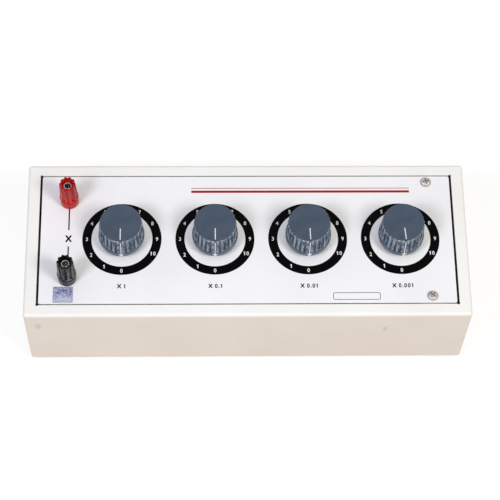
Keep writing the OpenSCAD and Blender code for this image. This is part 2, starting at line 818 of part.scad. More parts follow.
module common_bus() {
    left = [post_x, bus_y, bus_z];
    last = [dial_x(decades - 1) + bus_y, bus_y, bus_z];
    color(copper) {
        wire(left, last, bus_d);
        wire(left, [post_x, bus_y, tag_z + tag_t + wire_end], bus_d);
        solder(left);
        for (i = [0 : decades - 1]) {
            joint = [dial_x(i) + bus_y, bus_y, bus_z];
            wire(joint, [joint[0], joint[1], upper_wafer - wire_end], lead_d);
            solder(joint);
        }
    }
}

module return_bus() {
    left = [post_x, 0, ring_z];
    corner = [post_x, -bus_y, ring_z];
    color(copper) {
        wire(left, [dial_x(decades - 1) + eye_out, 0, ring_z], bus_d);
        wire(left, corner, bus_d);
        wire(corner, [post_x, -bus_y, tag_z + tag_t + wire_end], bus_d);
        solder(left);
        solder(corner);
        at_dials() {
            translate([0, 0, ring_z]) rotate_extrude() translate([eye_out, 0]) circle(d = bus_d);
            for (x = [-eye_out, eye_out]) solder([x, 0, ring_z]);
        }
    }
}

case_shell();
base_plate();
rubber_feet();
base_screws();
panel_tabs();
front_panel();
panel_screws();
seal_label();
post_cap(post_y, red);  // red_cap
clamp_washer(post_y);  // red_clamp_washer
collar(post_y, red);  // red_collar
post_cap(-post_y, black);  // black_cap
clamp_washer(-post_y);  // black_clamp_washer
collar(-post_y, black);  // black_collar
terminal_posts();
terminal_insulators();
terminal_nuts();
solder_tags();
for (i = [0 : decades - 1]) {
    knob(i);
    knob_cap(i);
    collet(i);
    spindle(i);
    rotors(i);
    switch_plate(i);
    wafers(i);
    capacitors(i);
}
panel_nuts();
lock_washers();
switch_studs();
stud_spacers();
stud_nuts();
contact_clips();
detent_springs();
common_bus();
return_bus();
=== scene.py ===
"""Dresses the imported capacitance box: enamelled case, printed panel, fluted knobs and binding posts.

Shapes are drawn in millimetres in the frame's axes. The objects made from them are in metres.
"""

import json
import math

import bmesh
import bpy
from mathutils import Matrix, Vector


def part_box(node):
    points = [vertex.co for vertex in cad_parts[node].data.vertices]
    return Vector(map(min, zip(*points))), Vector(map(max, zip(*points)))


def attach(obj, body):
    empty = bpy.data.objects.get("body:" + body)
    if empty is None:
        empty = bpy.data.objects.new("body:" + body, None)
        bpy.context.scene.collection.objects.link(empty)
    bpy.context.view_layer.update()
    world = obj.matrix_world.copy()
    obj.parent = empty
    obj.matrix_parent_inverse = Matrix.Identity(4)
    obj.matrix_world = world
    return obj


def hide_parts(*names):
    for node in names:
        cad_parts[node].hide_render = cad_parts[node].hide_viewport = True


MM = 0.001
TAU = 2 * math.pi

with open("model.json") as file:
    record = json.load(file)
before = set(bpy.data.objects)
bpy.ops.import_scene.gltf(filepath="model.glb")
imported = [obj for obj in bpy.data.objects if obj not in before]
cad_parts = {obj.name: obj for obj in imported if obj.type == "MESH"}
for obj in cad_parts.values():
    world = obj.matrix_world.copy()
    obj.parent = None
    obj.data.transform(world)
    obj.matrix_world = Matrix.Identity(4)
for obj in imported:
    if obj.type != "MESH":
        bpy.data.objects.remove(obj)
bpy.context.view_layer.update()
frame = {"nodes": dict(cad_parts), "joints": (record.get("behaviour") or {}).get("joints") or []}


# Places taken from the frame, in millimetres


def box_mm(node):
    """The lowest and highest corners of a node."""
    low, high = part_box(node)
    return low / MM, high / MM


def half_width(node):
    """Half a node's size along X, which is the radius of a round one."""
    low, high = box_mm(node)
    return (high.x - low.x) / 2


def joint_mm(name):
    """The point that a joint's axis goes through."""
    joint = next(j for j in frame["joints"] if j["name"] == name)
    return Vector(joint["pos_m"]) / MM


DECADES = (1, 2, 3, 4)
DIALS = {i: joint_mm(f"dial_{i}_turn") for i in DECADES}
POSTS = {c: joint_mm(f"{c}_cap_turn") for c in ("red", "black")}
CASE_LOW, CASE_HIGH = box_mm("case_shell")
PANEL_LOW, PANEL_HIGH = box_mm("front_panel")
PANEL_TOP = PANEL_HIGH.z
KNOB_Z = box_mm("knob_1")[0].z
KNOB_TOP = box_mm("knob_1")[1].z
POST_CAP_Z = box_mm("red_cap")[0].z
POST_CAP_TOP = box_mm("red_cap")[1].z

# Sizes that the solids share
SHEET = 1.2
BEND = 2.4
LIP = 9.0
FLANGE = 18.0
RELIEF = 1.1
SCREW_HOLE = 2.2
BUSH_HOLE = 4.95
SPIGOT_HOLE = 4.1
SCREW_X = 132.0
SCREW_Y = 46.0
FOOT_X = 148.0
FOOT_Y = 49.0
POINTER_SKEW = {1: 0.0, 2: 0.0, 3: 1.5, 4: 4.5}


# Camera


CAMERA_AZIMUTH = math.radians(-3.670)
CAMERA_ELEVATION = math.radians(63.862)
CAMERA_ROLL = math.radians(3.134)
CAMERA_PLACE = Vector((-35.1, -583.65, 1255.6))
CAMERA_LENS = 130.35
CAMERA_SENSOR = 36.0
CAMERA_REACH = 20.0


def add_camera():
    """A camera at the photograph's viewing angle, framed for a square picture."""
    flat = math.cos(CAMERA_ELEVATION)
    back_x = math.sin(CAMERA_AZIMUTH) * flat
    back_y = -math.cos(CAMERA_AZIMUTH) * flat
    back = Vector((back_x, back_y, math.sin(CAMERA_ELEVATION)))
    right = (-back).cross(Vector((0, 0, 1))).normalized()
    up = right.cross(-back)
    across = math.cos(CAMERA_ROLL) * right + math.sin(CAMERA_ROLL) * up
    upright = math.cos(CAMERA_ROLL) * up - math.sin(CAMERA_ROLL) * right
    lens = bpy.data.cameras.new("camera")
    lens.lens = CAMERA_LENS
    lens.sensor_width = CAMERA_SENSOR
    lens.clip_end = CAMERA_REACH
    camera = new_object("camera", lens)
    axes = Matrix((across, upright, back)).transposed().to_4x4()
    camera.matrix_world = Matrix.Translation(CAMERA_PLACE * MM) @ axes
    bpy.context.scene.camera = camera


# Shapes: each is a pair of vertices and faces


SCREW_SIDES = 48
FOOT_SIDES = 64
STEM_SIDES = 64
COLLAR_SIDES = 96
CAP_SIDES = 128
RING_SIDES = 160


def loft(rings, closed=False):
    """Skins rings of equal length; open ones get a face at each end."""
    n = len(rings[0])
    verts = [Vector(v) for ring in rings for v in ring]
    faces = []
    for k in range(len(rings) if closed else len(rings) - 1):
        here = k * n
        there = (k + 1) % len(rings) * n
        for i in range(n):
            j = (i + 1) % n
            faces.append((here + i, here + j, there + j, there + i))
    if not closed:
        faces.append(tuple(range(n)))
        faces.append(tuple(range(len(verts) - n, len(verts))))
    return verts, faces


def rounded(*corners, steps=5):
    """Points along a closed outline whose corners, each (x, y, radius), are arcs."""
    points = []
    for i, (x, y, radius) in enumerate(corners):
        here = Vector((x, y))
        if not radius:
            points.append(here)
            continue
        before = (Vector(corners[i - 1][:2]) - here).normalized()
        after = (Vector(corners[(i + 1) % len(corners)][:2]) - here).normalized()
        half = before.angle(after) / 2
        middle = here + (before + after).normalized() * radius / math.sin(half)
        start = here + before * radius / math.tan(half) - middle
        turn = start.angle_signed(here + after * radius / math.tan(half) - middle)
        for k in range(steps + 1):
            points.append(middle + Matrix.Rotation(-turn * k / steps, 2) @ start)
    return points


def lathe(profile, sides, swell=None):
    """Turns a closed profile of (radius, height) about +Z; swell may change a radius at each turn."""
    rings = []
    for k in range(sides):
        turn = TAU * k / sides
        ring = []
        for radius, height in profile:
            reach = swell(radius, height, turn) if swell else radius
            ring.append((reach * math.cos(turn), reach * math.sin(turn), height))
        rings.append(ring)
    return loft(rings, closed=True)


def rectangle(half_x, half_y, radius, height, steps=6):
    """A level ring around a rectangle with round corners."""
    ring = []
    for corner, (side_x, side_y) in enumerate(((1, 1), (-1, 1), (-1, -1), (1, -1))):
        for k in range(steps + 1):
            turn = (corner + k / steps) * TAU / 4
            x = side_x * (half_x - radius) + radius * math.cos(turn)
            y = side_y * (half_y - radius) + radius * math.sin(turn)
            ring.append((x, y, height))
    return ring


def moved(shape, at, turn=0.0, flip=False):
    """A shape turned about +Z, in degrees, and set down at a point; flip lays it upside down."""
    verts, faces = shape
    place = Matrix.Translation(at) @ Matrix.Rotation(math.radians(turn), 4, "Z")
    if flip:
        place @= Matrix.Rotation(math.pi, 4, "X")
    return [place @ v for v in verts], faces


def joined(shapes):
    """Several shapes as one."""
    verts = []
    faces = []
    for more_verts, more_faces in shapes:
        first = len(verts)
        verts += more_verts
        faces += [tuple(first + i for i in face) for face in more_faces]
    return verts, faces


def block(low, high):
    """A plain box between two corners, used for cuts."""
    (x0, y0, z0), (x1, y1, z1) = low, high
    ring = [(x0, y0), (x1, y0), (x1, y1), (x0, y1)]
    return loft([[(x, y, z) for x, y in ring] for z in (z0, z1)])


def circle(x, y, radius, sides=RING_SIDES):
    """Points around a circle on the panel."""
    turns = [TAU * k / sides for k in range(sides)]
    return [(x + radius * math.cos(t), y + radius * math.sin(t)) for t in turns]


def rod(radius, low, high):
    """A plain upright rod, used for cuts."""
    ring = circle(0, 0, radius, SCREW_SIDES)
    return loft([[(x, y, z) for x, y in ring] for z in (low, high)])


def curve_shape(curve):
    """The shape of a filled curve or of a text, which is then deleted."""
    holder = new_object("holder", curve)
    graph = bpy.context.evaluated_depsgraph_get()
    mesh = bpy.data.meshes.new_from_object(holder.evaluated_get(graph))
    shape = [v.co.copy() for v in mesh.vertices], [tuple(p.vertices) for p in mesh.polygons]
    bpy.data.objects.remove(holder)
    bpy.data.curves.remove(curve)
    bpy.data.meshes.remove(mesh)
    return shape


def print_shape(outlines, low, high):
    """A thin print between two heights; an outline inside another is a hole."""
    curve = bpy.data.curves.new("outline", "CURVE")
    curve.dimensions = "2D"
    curve.fill_mode = "BOTH"
    curve.extrude = (high - low) / 2
    for outline in outlines:
        spline = curve.splines.new("POLY")
        spline.points.add(len(outline) - 1)
        for point, (x, y) in zip(spline.points, outline):
            point.co = (x, y, 0, 1)
        spline.use_cyclic_u = True
    return moved(curve_shape(curve), (0, 0, (low + high) / 2))


def bolder(shape, amount):
    """Moves the walls of an upright print outwards, so that its strokes grow thicker."""
    verts, faces = shape
    work = bmesh.new()
    made = [work.verts.new(v) for v in verts]
    for face in faces:
        work.faces.new([made[i] for i in face])
    bmesh.ops.remove_doubles(work, verts=work.verts, dist=amount / 100)
    bmesh.ops.recalc_face_normals(work, faces=work.faces)
    steps = []
    for vert in work.verts:
        walls = [face.normal.copy() for face in vert.link_faces if abs(face.normal.z) < 0.5]
        out = sum(walls, Vector()).normalized()
        steps.append(out * amount / max(out.dot(walls[0]), 0.5))
    for vert, step in zip(work.verts, steps):
        vert.co += step
    work.verts.index_update()
    faces = [tuple(v.index for v in face.verts) for face in work.faces]
    shape = [v.co.copy() for v in work.verts], faces
    work.free()
    return shape


def cross_outline(x, y, half_x, half_y, stroke):
    """The twelve corners of a diagonal cross."""
    lean = math.atan2(half_y, half_x)
    along = Vector((math.cos(lean), math.sin(lean)))
    side = Vector((-along.y, along.x)) * stroke / 2
    tips = (Vector((half_x, half_y)) - side, Vector((half_x, half_y)) + side)
    notch_x = stroke / 2 / math.sin(lean)
    notch_y = stroke / 2 / math.cos(lean)
    points = [*tips, Vector((0, notch_y))]
    points += [Vector((-p.x, p.y)) for p in reversed(tips)] + [Vector((-notch_x, 0))]
    points += [-p for p in tips] + [Vector((0, -notch_y))]
    points += [Vector((p.x, -p.y)) for p in reversed(tips)] + [Vector((notch_x, 0))]
    return [(x + p.x, y + p.y) for p in points]


# The outline of a printed 1, as shares of its height
FIGURE_ONE = (
    (0.26, 0.0), (0.49, 0.0), (0.49, 1.0), (0.33, 1.0),
    (0.24, 0.9), (0.08, 0.84), (0.08, 0.7), (0.26, 0.77),
)
FONT_FIGURE_HEIGHT = 0.7
FONT_NARROW = 0.9
CROSS_SHARE = 0.8
CROSS_WEIGHT = 0.25
POINT_SIZE = 0.22
SPACE_WIDTH = 0.3
LETTER_GAP = 0.2
FIGURE_GAP = 0.34


def figure_shape(character, height, bold, thick):
    """One printed character that stands on y = 0, at the given height."""
    if character == "1":
        return print_shape([[(x * height, y * height) for x, y in FIGURE_ONE]], 0, thick)
    if character == ".":
        side = POINT_SIZE * height
        return print_shape([bar(0, side / 2, side, side / 2, side)], 0, thick)
    if character == "×":
        half = height / 2
        cross = cross_outline(0, half, half * CROSS_SHARE, half, height * CROSS_WEIGHT)
        return print_shape([cross], 0, thick)
    curve = bpy.data.curves.new("words", "FONT")
    curve.body = character
    curve.size = height / FONT_FIGURE_HEIGHT
    curve.extrude = thick / 2
    verts, faces = curve_shape(curve)
    verts = [Vector((v.x * FONT_NARROW, v.y, v.z + thick / 2)) for v in verts]
    return bolder((verts, faces), bold)


def text_shape(words, height, bold, low, high, centre, gap=LETTER_GAP):
    """Printed figures between two heights, with their middle at a point of the panel."""
    shapes = []
    reach = 0.0
    for character in words:
        if character == " ":
            reach += SPACE_WIDTH * height
            continue
        verts, faces = figure_shape(character, height, bold, high - low)
        left = min(v.x for v in verts)
        shapes.append(moved((verts, faces), (reach - left, 0, 0)))
        reach += max(v.x for v in verts) - left + gap * height
    middle = (reach - gap * height) / 2
    return moved(joined(shapes), (centre[0] - middle, centre[1] - height / 2, low))


def bar(x0, y0, x1, y1, width):
    """The four corners of a straight printed stroke."""
    along = Vector((x1 - x0, y1 - y0)).normalized() * width / 2
    side = Vector((-along.y, along.x))
    corners = (((x0, y0), 1), ((x0, y0), -1), ((x1, y1), -1), ((x1, y1), 1))
    return [Vector(end) + sign * side for end, sign in corners]


# Objects


SHARP_ANGLE = math.radians(32)
MERGE = 0.0005 * MM


def new_object(name, data):
    """A new object in the scene."""
    obj = bpy.data.objects.new(name, data)
    bpy.context.scene.collection.objects.link(obj)
    return obj


def finish_mesh(mesh):
    """Welds a mesh, turns its faces outwards and shades it smooth between sharp edges."""
    work = bmesh.new()
    work.from_mesh(mesh)
    bmesh.ops.remove_doubles(work, verts=work.verts, dist=MERGE)
    bmesh.ops.dissolve_degenerate(work, edges=work.edges, dist=MERGE)
    bmesh.ops.recalc_face_normals(work, faces=work.faces)
    work.to_mesh(mesh)
    work.free()
    mesh.shade_smooth()
    mesh.set_sharp_from_angle(angle=SHARP_ANGLE)


def mesh_object(name, shape, at=(0, 0, 0), turn=0.0):
    """An object in metres from a shape in millimetres."""
    verts, faces = shape
    mesh = bpy.data.meshes.new(name)
    mesh.from_pydata([Vector(v) * MM for v in verts], [], faces)
    finish_mesh(mesh)
    obj = new_object(name, mesh)
    obj.location = Vector(at) * MM
    obj.rotation_euler.z = math.radians(turn)
    return obj


def cut(obj, shape):
    """Takes a shape, in millimetres in the object's own axes, out of an object."""
    tool = mesh_object("cutter", shape)
    tool.location = obj.location
    tool.rotation_euler = obj.rotation_euler
    modifier = obj.modifiers.new("cut", "BOOLEAN")
    modifier.object = tool
    modifier.solver = "EXACT"
    graph = bpy.context.evaluated_depsgraph_get()
    mesh = bpy.data.meshes.new_from_object(obj.evaluated_get(graph))
    obj.modifiers.clear()
    whole = obj.data
    obj.data = mesh
    mesh.name = obj.name
    bpy.data.meshes.remove(whole)
    bpy.data.objects.remove(tool)
    finish_mesh(mesh)


def dress(obj, material, body, slot, *nodes):
    """Gives a piece its finish and its body, and hides the nodes that it stands for."""
    obj.data.materials.clear()
    obj.data.materials.append(material)
    normals = obj.modifiers.new("normals", "WEIGHTED_NORMAL")
    normals.keep_sharp = True
    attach(obj, body)
    if nodes:
        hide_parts(*nodes)


# Materials


class Finish:
    """A material and the few kinds of node that the finishes here are made of."""

    def __init__(self, name, **values):
        self.material = bpy.data.materials.new(name)
        self.material.use_nodes = True
        self.tree = self.material.node_tree
        self.shader = self.tree.nodes["Principled BSDF"]
        self.place = self.tree.nodes.new("ShaderNodeTexCoord").outputs["Object"]
        for socket, value in values.items():
            title = socket.replace("_", " ").title().replace("Ior", "IOR")
            self.shader.inputs[title].default_value = value

    def node(self, kind, **values):
        """A node with its named sockets set to values or joined to other nodes."""
        made = self.fill(kind)
        for socket, value in values.items():
            self.join(value, made.inputs[socket])
        return made

    def join(self, value, socket):
        """Sets a socket to a value, or joins it to the socket of another node."""
        if isinstance(value, bpy.types.NodeSocket):
            self.tree.links.new(value, socket)
        else:
            socket.default_value = value

    def noise(self, scale, detail=3.0, stretch=(1, 1, 1), distortion=0.0):
        """Cloudy noise between 0 and 1, with features about 1 / scale metres wide."""
        spread = self.node("Mapping", Vector=self.place, Scale=stretch).outputs[0]
        made = self.node("TexNoise", Vector=spread, Scale=scale, Detail=detail, Distortion=distortion)
        return made.outputs[0]

    def cells(self, scale):
        """Distance to the nearest of scattered points."""
        return self.node("TexVoronoi", Vector=self.place, Scale=scale).outputs["Distance"]

    def ramp(self, value, low, high, to_low=0.0, to_high=1.0):
        """Maps a value from one span to another, held at the ends."""
        return self.fill("MapRange", value, low, high, to_low, to_high).outputs[0]

    def mix(self, factor, first, second):
        """A colour between two others."""
        made = self.fill("Mix")
        made.data_type = "RGBA"
        for value, index in ((factor, 0), (first, 6), (second, 7)):
            self.join(value, made.inputs[index])
        return made.outputs[2]

    def fill(self, kind, *values, operation=None):
        """A node with its first sockets set to values or joined to other nodes."""
        made = self.tree.nodes.new("ShaderNode" + kind)
        if operation:
            made.operation = operation
        for value, socket in zip(values, made.inputs):
            self.join(value, socket)
        return made

    def math(self, operation, first, second):
        """A number worked out from two others."""
        return self.fill("Math", first, second, operation=operation).outputs[0]

    def hollow(self, distance):
        """1 in the open and towards 0 in corners and grooves."""
        return self.node("AmbientOcclusion", Distance=distance).outputs["AO"]

    def radius(self):
        """Distance from the object's own upright axis."""
        flat = self.node("Mapping", Vector=self.place, Scale=(1, 1, 0)).outputs[0]
        return self.fill("VectorMath", flat, operation="LENGTH").outputs["Value"]

    def band(self, lean, rise, fall):
        """1 between two radii in millimetres, on a side that leans in by a share of its height."""
        height = self.node("SeparateXYZ", Vector=self.place).outputs[2]
        reach = self.math("ADD", self.radius(), self.math("MULTIPLY", height, lean))
        start, end = (self.ramp(reach, low * MM, high * MM) for low, high in (rise, reversed(fall)))
        return self.math("MULTIPLY", start, end)

    def spot(self, point, radius, stretch=(1, 1, 1)):
        """0 at a point given in millimetres, rising to 1 at a distance from it."""
        spread = self.node("Mapping", Vector=self.place, Scale=stretch).outputs[0]
        middle = [p * s * MM for p, s in zip(point, stretch)]
        apart = self.fill("VectorMath", spread, middle, operation="DISTANCE").outputs["Value"]
        return self.ramp(apart, radius * MM / 4, radius * MM)

    def bump(self, *layers):
        """Stacks bumps, each (height, strength, depth in metres), on the shader."""
        normal = None
        for height, strength, depth in layers:
            made = self.node("Bump", Height=height, Strength=strength, Distance=depth)
            if normal:
                self.join(normal, made.inputs["Normal"])
            normal = made.outputs[0]
        self.join(normal, self.shader.inputs["Normal"])

    def colour(self, value):
        """Gives the shader its colour."""
        self.join(value, self.shader.inputs["Base Color"])

    def roughness(self, patch, smooth, rough, high=0.7):
        """Spreads the shader's roughness between two levels over a noise."""
        self.join(self.ramp(patch, 0.3, high, smooth, rough), self.shader.inputs["Roughness"])


def rgb(red, green, blue):
    """A colour written as it looks on a screen, from 0 to 255."""
    parts = []
    for part in (red, green, blue):
        share = part / 255
        parts.append(share / 12.92 if share <= 0.04045 else ((share + 0.055) / 1.055) ** 2.4)
    return (*parts, 1.0)


# How much darker the paint is drawn in the middle of each dent.
DENT_DARKENING = 0.34


def enamel(name, light, shade, dirt_and_shade, gloss, peel, dents=()):
    """Stove enamel on sheet: unevenness, specks, grime and painted shade in the corners, orange peel,
    and small dents painted darker.
    """
    finish = Finish(name, IOR=1.5)
    cloud = finish.ramp(finish.noise(14, detail=5), 0.36, 0.66)
    speck = finish.ramp(finish.cells(210), 0.02, 0.07, 1.0, 0.0)
    scarce = finish.ramp(finish.noise(60, detail=1), 0.62, 0.7)
    body = finish.mix(cloud, light, shade)
    marked = finish.mix(finish.math("MULTIPLY", speck, scarce), body, dirt_and_shade)
    # Painted shade: an occlusion mask, broken up by noise, darkens the paint towards the dirt_and_shade
    # colour in corners, recesses and around the parts that stand on it.
    depth = finish.ramp(finish.hollow(0.006), 0.75, 0.2)
    corner = finish.math("MULTIPLY", depth, finish.noise(160, detail=4))
    painted = finish.mix(corner, marked, dirt_and_shade)
    bumps = [(finish.noise(420, detail=2), peel, 0.00025), (finish.noise(22, detail=2), peel, 0.002)]
    for dent in dents:
        # Each dent is painted darker towards its middle and bumped in.
        level = finish.spot(*dent)
        painted = finish.mix(finish.ramp(level, 0.0, 1.0, DENT_DARKENING, 0.0), painted, dirt_and_shade)
        bumps.append((level, 0.4, 0.0003))
    finish.colour(painted)
    finish.roughness(finish.noise(45, detail=4), gloss - 0.05, gloss + 0.07)
    finish.bump(*bumps)
    return finish.material


def ink(name, light, shade, gloss=0.5):
    """Screen-printed ink: a thin film, a little uneven, with pinholes."""
    finish = Finish(name, specular_ior_level=0.04)
    patch = finish.ramp(finish.noise(520, detail=4), 0.38, 0.68)
    finish.colour(finish.mix(patch, light, shade))
    finish.roughness(finish.noise(240), gloss - 0.08, gloss + 0.1)
    finish.bump((finish.noise(1600, detail=2), 0.25, 0.00006))
    return finish.material


def moulding(name, light, shade, dust_and_shade, gloss, grain, sheen, pale=None, band=None):
    """Moulded plastic: flow marks, scratches, a colour drawn into corners and grooves that is settled
    grime where pale and painted shade where dark, and a pale band of painted highlight.
    """
    finish = Finish(name, specular_ior_level=sheen)
    flow = finish.ramp(finish.noise(110, detail=4, distortion=0.6), 0.3, 0.7)
    body = finish.mix(flow, light, shade)
    # Painted highlight streaks: a pale colour over a band of radii, broken up by noise.
    if band:
        patch = finish.ramp(finish.noise(420, detail=3, stretch=(1, 1, 0.4)), 0.36, 0.6)
        body = finish.mix(finish.math("MULTIPLY", finish.band(*band), patch), body, pale)
    # Occlusion mask: pulls corners and grooves towards the dust_and_shade colour; where that colour is
    # dark this is painted shade.
    dust_and_shade_mask = finish.ramp(finish.hollow(0.0015), 0.92, 0.45, 0.0, 0.7)
    patchy = finish.ramp(finish.noise(900, detail=3), 0.3, 0.6, 0.5, 1.0)
    finish.colour(finish.mix(finish.math("MULTIPLY", dust_and_shade_mask, patchy), body, dust_and_shade))
    rub = finish.noise(380, detail=5, stretch=(1, 1, 0.15))
    finish.roughness(rub, gloss - 0.05, gloss + 0.12, 0.75)
    fine = finish.noise(2600, detail=2)
    broad = finish.noise(300, detail=3)
    finish.bump((fine, grain, 0.00003), (broad, grain, 0.0001))
    return finish.material


def satin_cap():
    """The knobs' caps: a matt slate face with fine concentric turning marks and rubbed patches."""
    finish = Finish("slate_satin", specular_ior_level=0.25)
    rub = finish.ramp(finish.noise(90, detail=5), 0.35, 0.7)
    body = finish.mix(rub, rgb(60, 72, 90), rgb(69, 81, 97))
    speck = finish.ramp(finish.noise(2400, detail=2), 0.6, 0.75)
    finish.colour(finish.mix(finish.math("MULTIPLY", speck, 0.35), body, rgb(120, 130, 142)))
    finish.roughness(finish.noise(140, detail=5), 0.4, 0.56, 0.75)
    rings = finish.math("SINE", finish.math("MULTIPLY", finish.radius(), 22000.0), 0.0)
    finish.bump((rings, 0.12, 0.00002), (finish.noise(1900, detail=2), 0.2, 0.00005))
    return finish.material


def metal(name, light, tarnish, gloss, lines, amount=0.6):
    """Plated or bare metal: tool marks, tarnish in patches and in corners."""
    finish = Finish(name, metallic=1.0)
    patch = finish.ramp(finish.noise(330, detail=6), 0.42, 0.72, 0.0, amount)
    corner = finish.ramp(finish.hollow(0.002), 0.7, 0.2, 0.0, 0.8)
    finish.colour(finish.mix(finish.math("MAXIMUM", patch, corner), light, tarnish))
    finish.roughness(finish.noise(700, detail=4), gloss - 0.06, gloss + 0.14)
    finish.bump((finish.noise(900, detail=3, stretch=lines), 0.3, 0.00005))
    return finish.material


def rubber():
    """Moulded rubber, dusty and a little bloomed."""
    finish = Finish("rubber_black", IOR=1.5)
    bloom = finish.ramp(finish.noise(260, detail=5), 0.4, 0.75, 0.0, 0.6)
    finish.colour(finish.mix(bloom, rgb(34, 34, 35), rgb(70, 69, 67)))
    finish.roughness(finish.noise(500), 0.62, 0.82)
    finish.bump((finish.noise(1500, detail=3), 0.5, 0.0001))
    return finish.material


FILM_RIM = 1.1
FILM_FADE = 11.0


def seal_film():
    """A thin lilac film: mottled blue towards the back, pale to the front, grey along its rim."""
    finish = Finish("lilac_film", specular_ior_level=0.3)
    low, high = (corner * MM for corner in box_mm("seal_label"))
    across, along, _ = finish.node("SeparateXYZ", Vector=finish.place).outputs
    rim = FILM_RIM * MM
    inside = finish.ramp(across, low.x, low.x + rim)
    inside = finish.math("MINIMUM", inside, finish.ramp(across, high.x, high.x - rim))
    inside = finish.math("MINIMUM", inside, finish.ramp(along, low.y, low.y + rim))
    back = finish.ramp(along, high.y - FILM_FADE * MM, high.y - FILM_FADE * MM / 2)
    patch = finish.ramp(finish.noise(700, detail=4, distortion=0.4), 0.44, 0.6)
    cloud = finish.ramp(finish.noise(300, detail=4, distortion=0.8), 0.35, 0.68)
    base = finish.mix(cloud, rgb(166, 169, 202), rgb(186, 189, 212))
    mottled = finish.mix(finish.math("MULTIPLY", patch, back), base, rgb(84, 94, 150))
    finish.colour(finish.mix(inside, rgb(156, 156, 164), mottled))
    finish.roughness(finish.noise(300), 0.45, 0.6)
    finish.bump((finish.noise(700, detail=3), 0.2, 0.0001))
    return finish.material


def laminate(name, light, shade):
    """Paper laminate or a dipped coat: fibres and blotches."""
    finish = Finish(name, IOR=1.5)
    fibre = finish.noise(900, detail=4, stretch=(1, 0.2, 1))
    finish.colour(finish.mix(finish.ramp(fibre, 0.3, 0.7), light, shade))
    finish.roughness(finish.noise(300), 0.35, 0.55)
    finish.bump((fibre, 0.3, 0.0001))
    return finish.material


# Dents in the case's front, each (middle, radius, stretch)
DENTS = (
    ((-150.3, -61.0, 65.0), 3.2, (1, 1, 0.5)),
    ((99.0, -61.0, 58.5), 2.0, (1, 1, 0.35)),
)
CASE_PAINT = enamel(
    "cream_enamel", rgb(243, 243, 241), rgb(238, 237, 234), rgb(168, 158, 142), 0.42, 0.3, DENTS
)
PANEL_PAINT = enamel(
    "white_enamel", rgb(242, 242, 244), rgb(236, 236, 240), rgb(176, 172, 168), 0.36, 0.16
)
BLACK_INK = ink("black_ink", rgb(1, 1, 2), rgb(4, 4, 5))
WHITE_INK = ink("white_ink", rgb(240, 240, 240), rgb(222, 222, 224))
RED_INK = ink("red_ink", rgb(172, 30, 50), rgb(160, 36, 54))
POINTER_PAINT = ink("pointer_paint", rgb(236, 238, 243), rgb(216, 220, 229), 0.4)
CAP_PLASTIC = satin_cap()
INSULATOR = moulding("black_moulded", rgb(14, 14, 15), rgb(22, 22, 23), rgb(44, 43, 42), 0.4, 0.2, 0.3)
NICKEL = metal("nickel", rgb(190, 188, 186), rgb(122, 116, 108), 0.2, (1, 1, 6))
ZINC = metal("dull_zinc", rgb(184, 178, 175), rgb(140, 131, 126), 0.5, (1, 1, 1))
STEEL = metal("plated_steel", rgb(186, 185, 180), rgb(126, 118, 106), 0.3, (1, 5, 1))
BRASS = metal("brass", rgb(214, 178, 104), rgb(140, 104, 56), 0.28, (1, 1, 4))
COPPER = metal("tinned_copper", rgb(206, 170, 146), rgb(150, 104, 78), 0.3, (1, 1, 1))
RUBBER = rubber()
FILM = seal_film()
BOARD = laminate("paper_board", rgb(150, 104, 62), rgb(116, 76, 44))
DIPPED = laminate("dipped_film", rgb(212, 160, 58), rgb(190, 134, 44))


# Case, panel and fasteners


EDGE = 0.25
PANEL_CORNER = 1.4
CORNERS = ((-1, -1), (-1, 1), (1, -1), (1, 1))


def add_case():
    """The folded case: its lip, its bottom flange, and the relief holes of the panel's opening."""
    low = CASE_LOW.z
    high = CASE_HIGH.z
    inner = BEND - SHEET
    profile = rounded(
        (0, low, BEND),
        (FLANGE, low, EDGE),
        (FLANGE, low + SHEET, EDGE),
        (SHEET, low + SHEET, inner),
        (SHEET, high - SHEET, inner),
        (LIP, high - SHEET, EDGE),
        (LIP, high, EDGE),
        (0, high, BEND),
        steps=7,
    )
    half_x = CASE_HIGH.x
    half_y = CASE_HIGH.y
    rings = [rectangle(half_x - p.x, half_y - p.x, max(BEND - p.x, EDGE / 5), p.y) for p in profile]
    case = mesh_object("case_folded", loft(rings, closed=True))
    relief_x = (half_x - LIP + PANEL_HIGH.x) / 2
    relief_y = (half_y - LIP + PANEL_HIGH.y) / 2
    holes = []
    for x, y in CORNERS:
        corner = (x * relief_x, y * relief_y, 0)
        holes.append(moved(rod(RELIEF, high - 2 * BEND, high + BEND), corner))
        foot = (x * FOOT_X, y * FOOT_Y, 0)
        holes.append(moved(rod(SCREW_HOLE, low - SHEET, low + 2 * SHEET), foot))
    cut(case, joined(holes))
    dress(case, CASE_PAINT, "case_body", "case_paint", "case_shell")


def add_panel():
    """The flush panel, with softened edges and its holes."""
    low = PANEL_LOW.z
    edge = [(EDGE, low, 0), (0, low, EDGE), (0, PANEL_TOP, EDGE), (EDGE, PANEL_TOP, 0)]
    levels = rounded(*edge, steps=3)
    rings = [rectangle(PANEL_HIGH.x - p.x, PANEL_HIGH.y - p.x, PANEL_CORNER - p.x, p.y) for p in levels]
    panel = mesh_object("panel_plate", loft(rings))
    span = (low - SHEET, PANEL_TOP + SHEET)
    holes = [moved(rod(BUSH_HOLE, *span), (d.x, d.y, 0)) for d in DIALS.values()]
    holes += [moved(rod(SPIGOT_HOLE, *span), (p.x, p.y, 0)) for p in POSTS.values()]
    holes += [moved(rod(SCREW_HOLE, *span), (x * SCREW_X, y * SCREW_Y, 0)) for x, y in CORNERS]
    cut(panel, joined(holes))
    dress(panel, PANEL_PAINT, "case_body", "panel_paint", "front_panel")


SCREW_HEAD = 3.8
SCREW_HEIGHT = 2.3
SCREW_SHANK = 2.0
RECESS_LENGTH = 4.4
RECESS_WIDTH = 0.95
RECESS_SINK = 1.3


